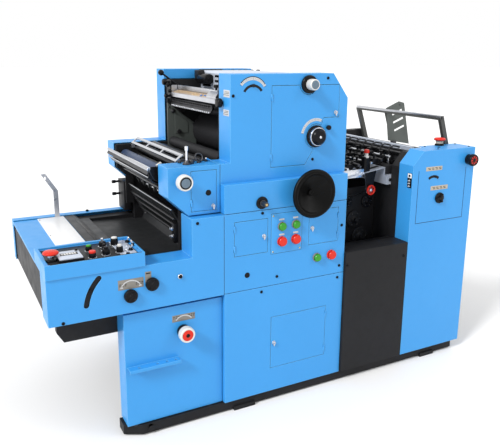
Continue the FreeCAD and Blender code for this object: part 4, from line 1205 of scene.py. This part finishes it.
def addColumnParts():
    c = columnParts
    parts = Piece("columnLabels", "press", "white_plastic", labelCream, blackPaint, labelGrey)
    for x0, z0, x1, z1 in c["labels"]:
        parts.label(x0, z0, x1, z1, feederFace)
        for i in range(4):
            x = x0 + 16 + i * 24
            parts.dash(x, z0 + 6, x + 14, z0 + 9, feederFace, 1)
            parts.dash(x - 4, z0 + 13, x + 12, z0 + 15.5, feederFace, 1)
    parts.plate(arcBand(*c["slot"], 6.5), 1, feederFace + 0.5, feederFace - 0.5, 1)
    x, z = c["slot"][1]
    parts.shaped((x + 14, feederFace, z - 3), towards, [(0, -1), (6, -1), (6, 7), (0, 8)], 1, 1, 20)
    parts.done()
    # folded door in the column's left half, drawn by its seam
    seam = Piece("columnSeam", "press", "black_paint", blackPaint)
    for x0, z0, x1, z1 in c["seams"]:
        seam.block((x0, feederFace - 0.35, z0), (x1, feederFace + 1, z1), 0, 0.2)
    seam.done()
    panel = Piece("columnSwitches", "press", "white_plastic", whitePaint, blackPlastic, barSteel)
    face = nodeBox("feeder_cover_near")[0][0]
    y0, z0, y1, z1 = c["switchPlate"]
    panel.block((face - 1.4, y0, z0), (face + 0.5, y1, z1), 1, 0.4)
    panel.block((face - 2, y0 + 1.5, z1 - 24), (face - 1, y1 - 1.5, z1 - 1.5), 0, 0.4)
    panel.stub((face, (y0 + y1) / 2, z1 - 13), (-1, 0, 0), 6.5, 1, 3.4, 1, 24, soft=0.6)
    for i in range(3):
        panel.shaped((face - 1, (y0 + y1) / 2, z0 + 9 + 14 * i), (-1, 0, 0), [
            (0, 0), (5.4, 0), (5.4, 3.5), (2.6, 4.6), (2.2, 12), (0, 12)], 0.6, 2, 16)
    panel.done()
    deck = Piece("deckParts", "press", "black_plastic", blackPlastic, barSteel)
    top = nodeBox("feeder_cover_near")[1][2]
    for x, y, r in c["deckBolts"]:
        deck.bolt((x, y, top), upwards, r, 3.2)
    deck.done()


feedParts = {
    "tapes": [-272, -176, -40, 40, 144, 250],
    "boardStart": (302, 980), "boardEnd": (690, 1040),
    "rods": [(372, 1032, 7), (452, 1046, 6), (520, 1062, 8), (600, 1068, 6), (668, 1078, 8), (720, 1090, 7),
             (790, 1106, 8)],                     # x, z, radius
    "wheels": 7, "wheelRods": 5,
    "heads": [(404, 1040), (488, 1056), (560, 1066), (636, 1080), (700, 1090)],
    "tubes": 8,
    "plateMiddle": (594, 930),
}


def addFeedParts():
    f = feedParts
    (x0, z0), (x1, z1) = f["boardStart"], f["boardEnd"]
    slope = (z1 - z0) / (x1 - x0)

    def onBoard(x):
        return z0 + (x - x0) * slope

    # thin plate lying on the board, from one height above it to another
    def laid(piece, x0, x1, under, over, y0, y1, finish, bevel=0.0):
        piece.plate([(x0, onBoard(x0) + under), (x1, onBoard(x1) + under), (x1, onBoard(x1) + over),
                     (x0, onBoard(x0) + over)], 1, y0, y1, finish, bevel)

    tapes = Piece("feedTapes", "press", "black_plastic", rubber, whitePaint, barSteel, blackPlastic)
    for y in f["tapes"]:
        laid(tapes, 324, 676, 0, 2.2, y - 11, y + 11, 0)
    # black guide plate over the far part of the board
    laid(tapes, 334, 684, 2.4, 4, -170, 312, 3, 0.4)
    for y in (-210, -250):
        laid(tapes, 430, 560, 2.4, 5, y - 6, y + 6, 3, 0.4)
    # side lays and the front lays
    for y in (-296, 296):
        tapes.block((420, y - 8, onBoard(420) - 2), (600, y + 8, onBoard(600) + 12), 2, 1.5)
    for i in range(6):
        y = -240 + 96 * i
        tapes.block((332, y - 6, 984), (342, y + 6, 1012), 2, 1)
    tapes.done()
    rods = Piece("feedRods", "press", "bright_steel", barSteel, rubber, darkSteel, blackPlastic)
    for x, z, r in f["rods"]:
        rods.across(x, z, r, 0 if r < 8 else 2)
    for k, (x, z, _) in enumerate(f["rods"][:f["wheelRods"]]):
        for i in range(f["wheels"]):
            y = -260 + 84 * i + 18 * (k % 2)
            rods.block((x - 6, y - 7, z - 8), (x + 7, y + 7, z + 12), 3, 2)
            rods.plate([(x + 2, z + 2), (x + 30, z - 12), (x + 32, z - 7), (x + 4, z + 9)], 1,
                       y - 3, y + 3, 0, 0.6)
            wz = max(onBoard(x + 32) + 17, z - 16)
            rods.stub((x + 32, y - 5, wz), away, 14, 0, 10, 1, 24, soft=1.5)
    rods.done()
    # suction head: tubes, rubber cups and separator blocks over the pile's front edge
    head = Piece("suctionHead", "press", "bright_steel", barSteel, blackPlastic, darkSteel, brightSteel, rubber)
    head.beam(744, 1014, 778, 1040, 2, 3)
    head.beam(690, 1002, 742, 1046, 4, 3)
    head.beam(806, 1000, 834, 1096, 4, 3)
    for k, (x, z) in enumerate(f["heads"]):
        for i in range(6):
            y = -286 + 100 * i + 22 * (k % 3)
            head.block((x - 20, y - 16, z - 22), (x + 22, y + 16, z + 8 + 6 * (i % 2)), 1, 4)
            head.shaped((x, y, z + 6), upwards, [
                (0, 0), (6, 0), (6, 16), (10, 18), (10, 24), (0, 25)], 1, 1, 18)
    for i in range(f["tubes"]):
        y = -252 + 72 * i
        head.rod((762, y, 1036), (762, y, 1096), 7, 0)
        head.shaped((762, y, 1094), upwards, [(0, 0), (12, 0), (12, 18), (8, 22), (0, 22)], 1.5, 1, 24)
        head.bent([(762, y, 1114), (770, y + 4, 1128), (796, y + 6, 1136), (826, y + 4, 1130), (846, y, 1126)],
                  4, 4, 8)
        head.block((778, y - 10, 1004), (806, y + 10, 1060), 1, 3)
        head.shaped((792, y, 1000), (0, 0, -1), [
            (0, -3), (6, -3), (6, 4), (13, 10), (13, 13), (0, 13)], 1, 4, 22)
        head.rod((806, y, 1050), (842, y, 1120), 4.5, 0)
    head.beam(828, 1104, 864, 1117, 2, 2)
    head.rod((880, -innerSide - 20, 1112), (880, innerSide + 20, 1112), 9, 2)
    head.done()
    beam = Piece("beamParts", "press", "bright_steel", zincPlate, blackPlastic, darkSteel, brightSteel)
    for x in (706, 742):
        beam.stub((x, -340, 976), towards, 9, -1, 1, 1, 22, soft=0.5)
    beam.block((750, -336, 960), (777, -302, 1020), 1, 3)
    beam.block((690, 200, 1000), (760, 300, 1034), 1, 4)
    x, z = f["plateMiddle"]
    beam.plate([(x - 36, 1018), (x - 17, z - 17), (x + 17, z - 17), (x + 36, 1028)], 1,
               -innerSide - 1.6, -innerSide - 0.2, 1, 0.4)
    beam.block((650, -120, 1052), (700, -60, 1086), 1, 5)
    beam.block((640, 60, 1052), (690, 130, 1090), 1, 5)
    beam.done()
    # small red clamp knob on its white foot at the near end of the feed board
    clamp = Piece("clampFoot", "press", "red_plastic", redPlastic, whitePlastic, barSteel, blackPlastic)
    clamp.block((560, -306, 1020), (600, -280, 1100), 3, 4)
    clamp.shaped((579, -296, 1098), upwards, [
        (0, -4), (13, -4), (13, 4), (9, 8), (9, 22), (0, 22)], 1.5, 1, 26)
    clamp.shaped((579, -296, 1118), upwards, [
        (0, 0), (12, 0), (14, 5), (14, 15), (10, 19), (0, 19)], 1.5, 0, 28)
    clamp.done()
    wheel = Piece("redWheel", "feeder_handwheel", "red_plastic", redPlastic, barSteel, darkSteel)
    x, _, z = nodeCentre("feeder_handwheel")
    face = -innerSide
    wheel.turned((x, face, z), towards, [(0, -16), (8, -16), (8, 6), (0, 6)], 2, 24)
    wheel.shaped((x, face, z), towards, [(0, 3), (20, 3), (20, 8), (12, 11), (0, 11)], 1, 0, 40)
    for i in range(3):
        wheel.swing(x, z, 60 * i + 15)
        wheel.block((-3.2, face - 12, -18), (3.2, face - 7, 18), 2, 1)
    wheel.stand = Matrix()
    # rim: a ring with a round section
    turns = [math.radians(a) for a in range(0, 360, 30)]
    rim = [(22.6 + 4.2 * math.cos(t), 12 + 5.4 * math.sin(t)) for t in turns]
    wheel.turned((x, face, z), towards, [(16, 8)] + [rim[i % 12] for i in range(6, 19)] + [(16, 9)], 0, 48)
    wheel.shaped((x, face, z), towards, [(0, 10), (8, 10), (8, 15), (5, 17), (0, 17)], 1, 1, 28)
    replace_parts(wheel.done(), "feeder_handwheel")


guardParts = {
    "lightBand": 11,
    "chainStart": 318, "chainEnd": 1080, "link": 18,
}


def addGuardParts():
    low, high = nodeBox("feeder_guard")
    trim = Piece("guardTrim", "press", "bright_steel", brightSteel, darkSteel, blackPlastic)
    trim.block((1006, low[1] + 1, high[2] - guardParts["lightBand"]), (1029, high[1] - 1, high[2] + 1.2), 0, 1.2)
    for y, out in ((-350, -1), (350, 1)):
        trim.stub((1085, y, 1091), upwards, 9, -1, 6, 1, 24)
        trim.stub((1018, y + 11 * out, 1283), (0, out, 0), 7, -1, 2, 1, 24, soft=0.8)
    trim.block((1070, 76, 1078), (1100, 92, 1104), 1, 1.5)
    for x, z in ((1034, 1292), (1112, 1318)):
        trim.bolt((x, 82, z), towards, 5, 3.5, 1)
    trim.done()
    pile = Piece("pileParts", "press", "bright_steel", darkSteel, barSteel, blackPaint)
    for y in (-230, 230):
        pile.block((800, y - 20, 250), (1080, y + 20, 299.8), 2, 3)
    for y in (-312, 312):                         # lifting chains
        for i, z in enumerate(range(guardParts["chainStart"], guardParts["chainEnd"] + 1, guardParts["link"])):
            pile.block((1088, y - 3 - i % 2, z), (1096, y + 3 + i % 2, z + 14), 0, 1)
    pile.done()


lowerWorks = {
    "x": (340, 690), "z": (560, 930), "y": -300,
    "wheels": [(420, 820, 46), (505, 860, 34), (455, 720, 58), (560, 760, 48), (640, 850, 36), (600, 660, 52)],
    "hoses": [([(380, 40, 900), (420, 30, 880), (470, 30, 905), (540, 34, 890), (600, 30, 910)], 5),
              ([(370, 40, 640), (400, 34, 700), (380, 30, 780), (400, 34, 860)], 6)],
}


# black drive works seen in the opening under the feed board
def addLowerWorks():
    (x0, x1), (z0, z1), y = lowerWorks["x"], lowerWorks["z"], lowerWorks["y"]
    works = Piece("feedDrive", "press", "black_paint", blackPaint, darkSteel, blackPlastic)
    works.block((x0, y + 60, z0), (x1, y + 70, z1), 0, 2)
    for x, z, r in lowerWorks["wheels"]:
        works.shaped((x, y + 62, z), towards, [
            (0, 0), (r, 0), (r, 10), (r * 0.86, 12), (r * 0.5, 12), (r * 0.4, 18), (r * 0.25, 20),
            (r * 0.25, 34), (0, 34)], 1.2, 2 if r < 40 else 0, 40)
        for i in range(6):
            turn = math.radians(60 * i)
            works.bolt((x + r * 0.7 * math.cos(turn), y + 50, z + r * 0.7 * math.sin(turn)), towards, 3.4, 2.4, 1)
    for points, r in lowerWorks["hoses"]:
        works.bent([(x, y + out, z) for x, out, z in points], r, 2)
    works.block((520, y + 40, 590), (580, y + 60, 640), 2, 3)
    works.block((360, y + 36, 600), (410, y + 60, 660), 2, 3)
    works.done()


addColumnParts()
addLowerWorks()
addFeedParts()
addGuardParts()
print("feeder fitted")


view = {
    "at": (-1386.67, -2737.57, 1610.09),
    "turn": 27.886,
    "down": 13.592,
    "roll": 0.481,
    "focal": 609.138 / 500,        # focal length as a share of the picture's width
    "shift": (0.0011, -0.0447),
}


def addCamera():
    camera = bpy.data.cameras.new("camera")
    camera.sensor_width = 36.0
    camera.sensor_fit = "HORIZONTAL"
    camera.lens = view["focal"] * camera.sensor_width
    camera.shift_x, camera.shift_y = view["shift"]
    camera.clip_start, camera.clip_end = 0.05, 200
    turn, down, roll = (math.radians(view[k]) for k in ("turn", "down", "roll"))
    ahead = Vector((math.sin(turn) * math.cos(down), math.cos(turn) * math.cos(down), -math.sin(down)))
    level = Vector((math.cos(turn), -math.sin(turn), 0))
    over = level.cross(ahead)
    right = level * math.cos(roll) + over * math.sin(roll)
    up = right.cross(ahead)
    eye = bpy.data.objects.new("camera", camera)
    eye.matrix_world = Matrix.Translation(Vector(view["at"]) * toMetres) @ Matrix(
        (right, up, -ahead)).transposed().to_4x4()
    scene.collection.objects.link(eye)
    scene.camera = eye


# a white room of light, with one soft key from the upper left and a weak one from the right
studio = {
    "room": 1.0,
    "suns": {"key": (2.6, 12, (-0.92, -0.36, 0.80)), "side": (0.45, 20, (0.7, -0.6, 0.6))},
    "floorSize": 60,
    "floorGrey": 0.80,
}


def addStudio():
    world = bpy.data.worlds.new("studio")
    world.use_nodes = True
    world.node_tree.nodes["Background"].inputs["Color"].default_value = (1, 1, 1, 1)
    world.node_tree.nodes["Background"].inputs["Strength"].default_value = studio["room"]
    scene.world = world
    for name, (power, spreadAngle, source) in studio["suns"].items():
        light = bpy.data.lights.new(name, "SUN")
        light.energy = power
        light.angle = math.radians(spreadAngle)
        lamp = bpy.data.objects.new(name, light)
        lamp.rotation_euler = (-Vector(source)).to_track_quat("-Z", "Y").to_euler()
        lamp.location = Vector(source) * 5
        scene.collection.objects.link(lamp)
    floorMesh = bpy.data.meshes.new("floor")
    s = studio["floorSize"]
    floorMesh.from_pydata([(-s, -s, 0), (s, -s, 0), (s, s, 0), (-s, s, 0)], [], [(0, 1, 2, 3)])
    floor = bpy.data.objects.new("floor", floorMesh)
    scene.collection.objects.link(floor)
    g = studio["floorGrey"]
    f = Finish("floorPaint", (g, g, g), 0.8, specular=0.2)
    f.tint(f.noise(0.8, 2.0), (g - 0.02, g - 0.02, g - 0.015), 0.6)
    floorMesh.materials.append(f.material)
    scene.view_settings.view_transform = "Standard"


addCamera()
addStudio()
print("camera and studio ready")
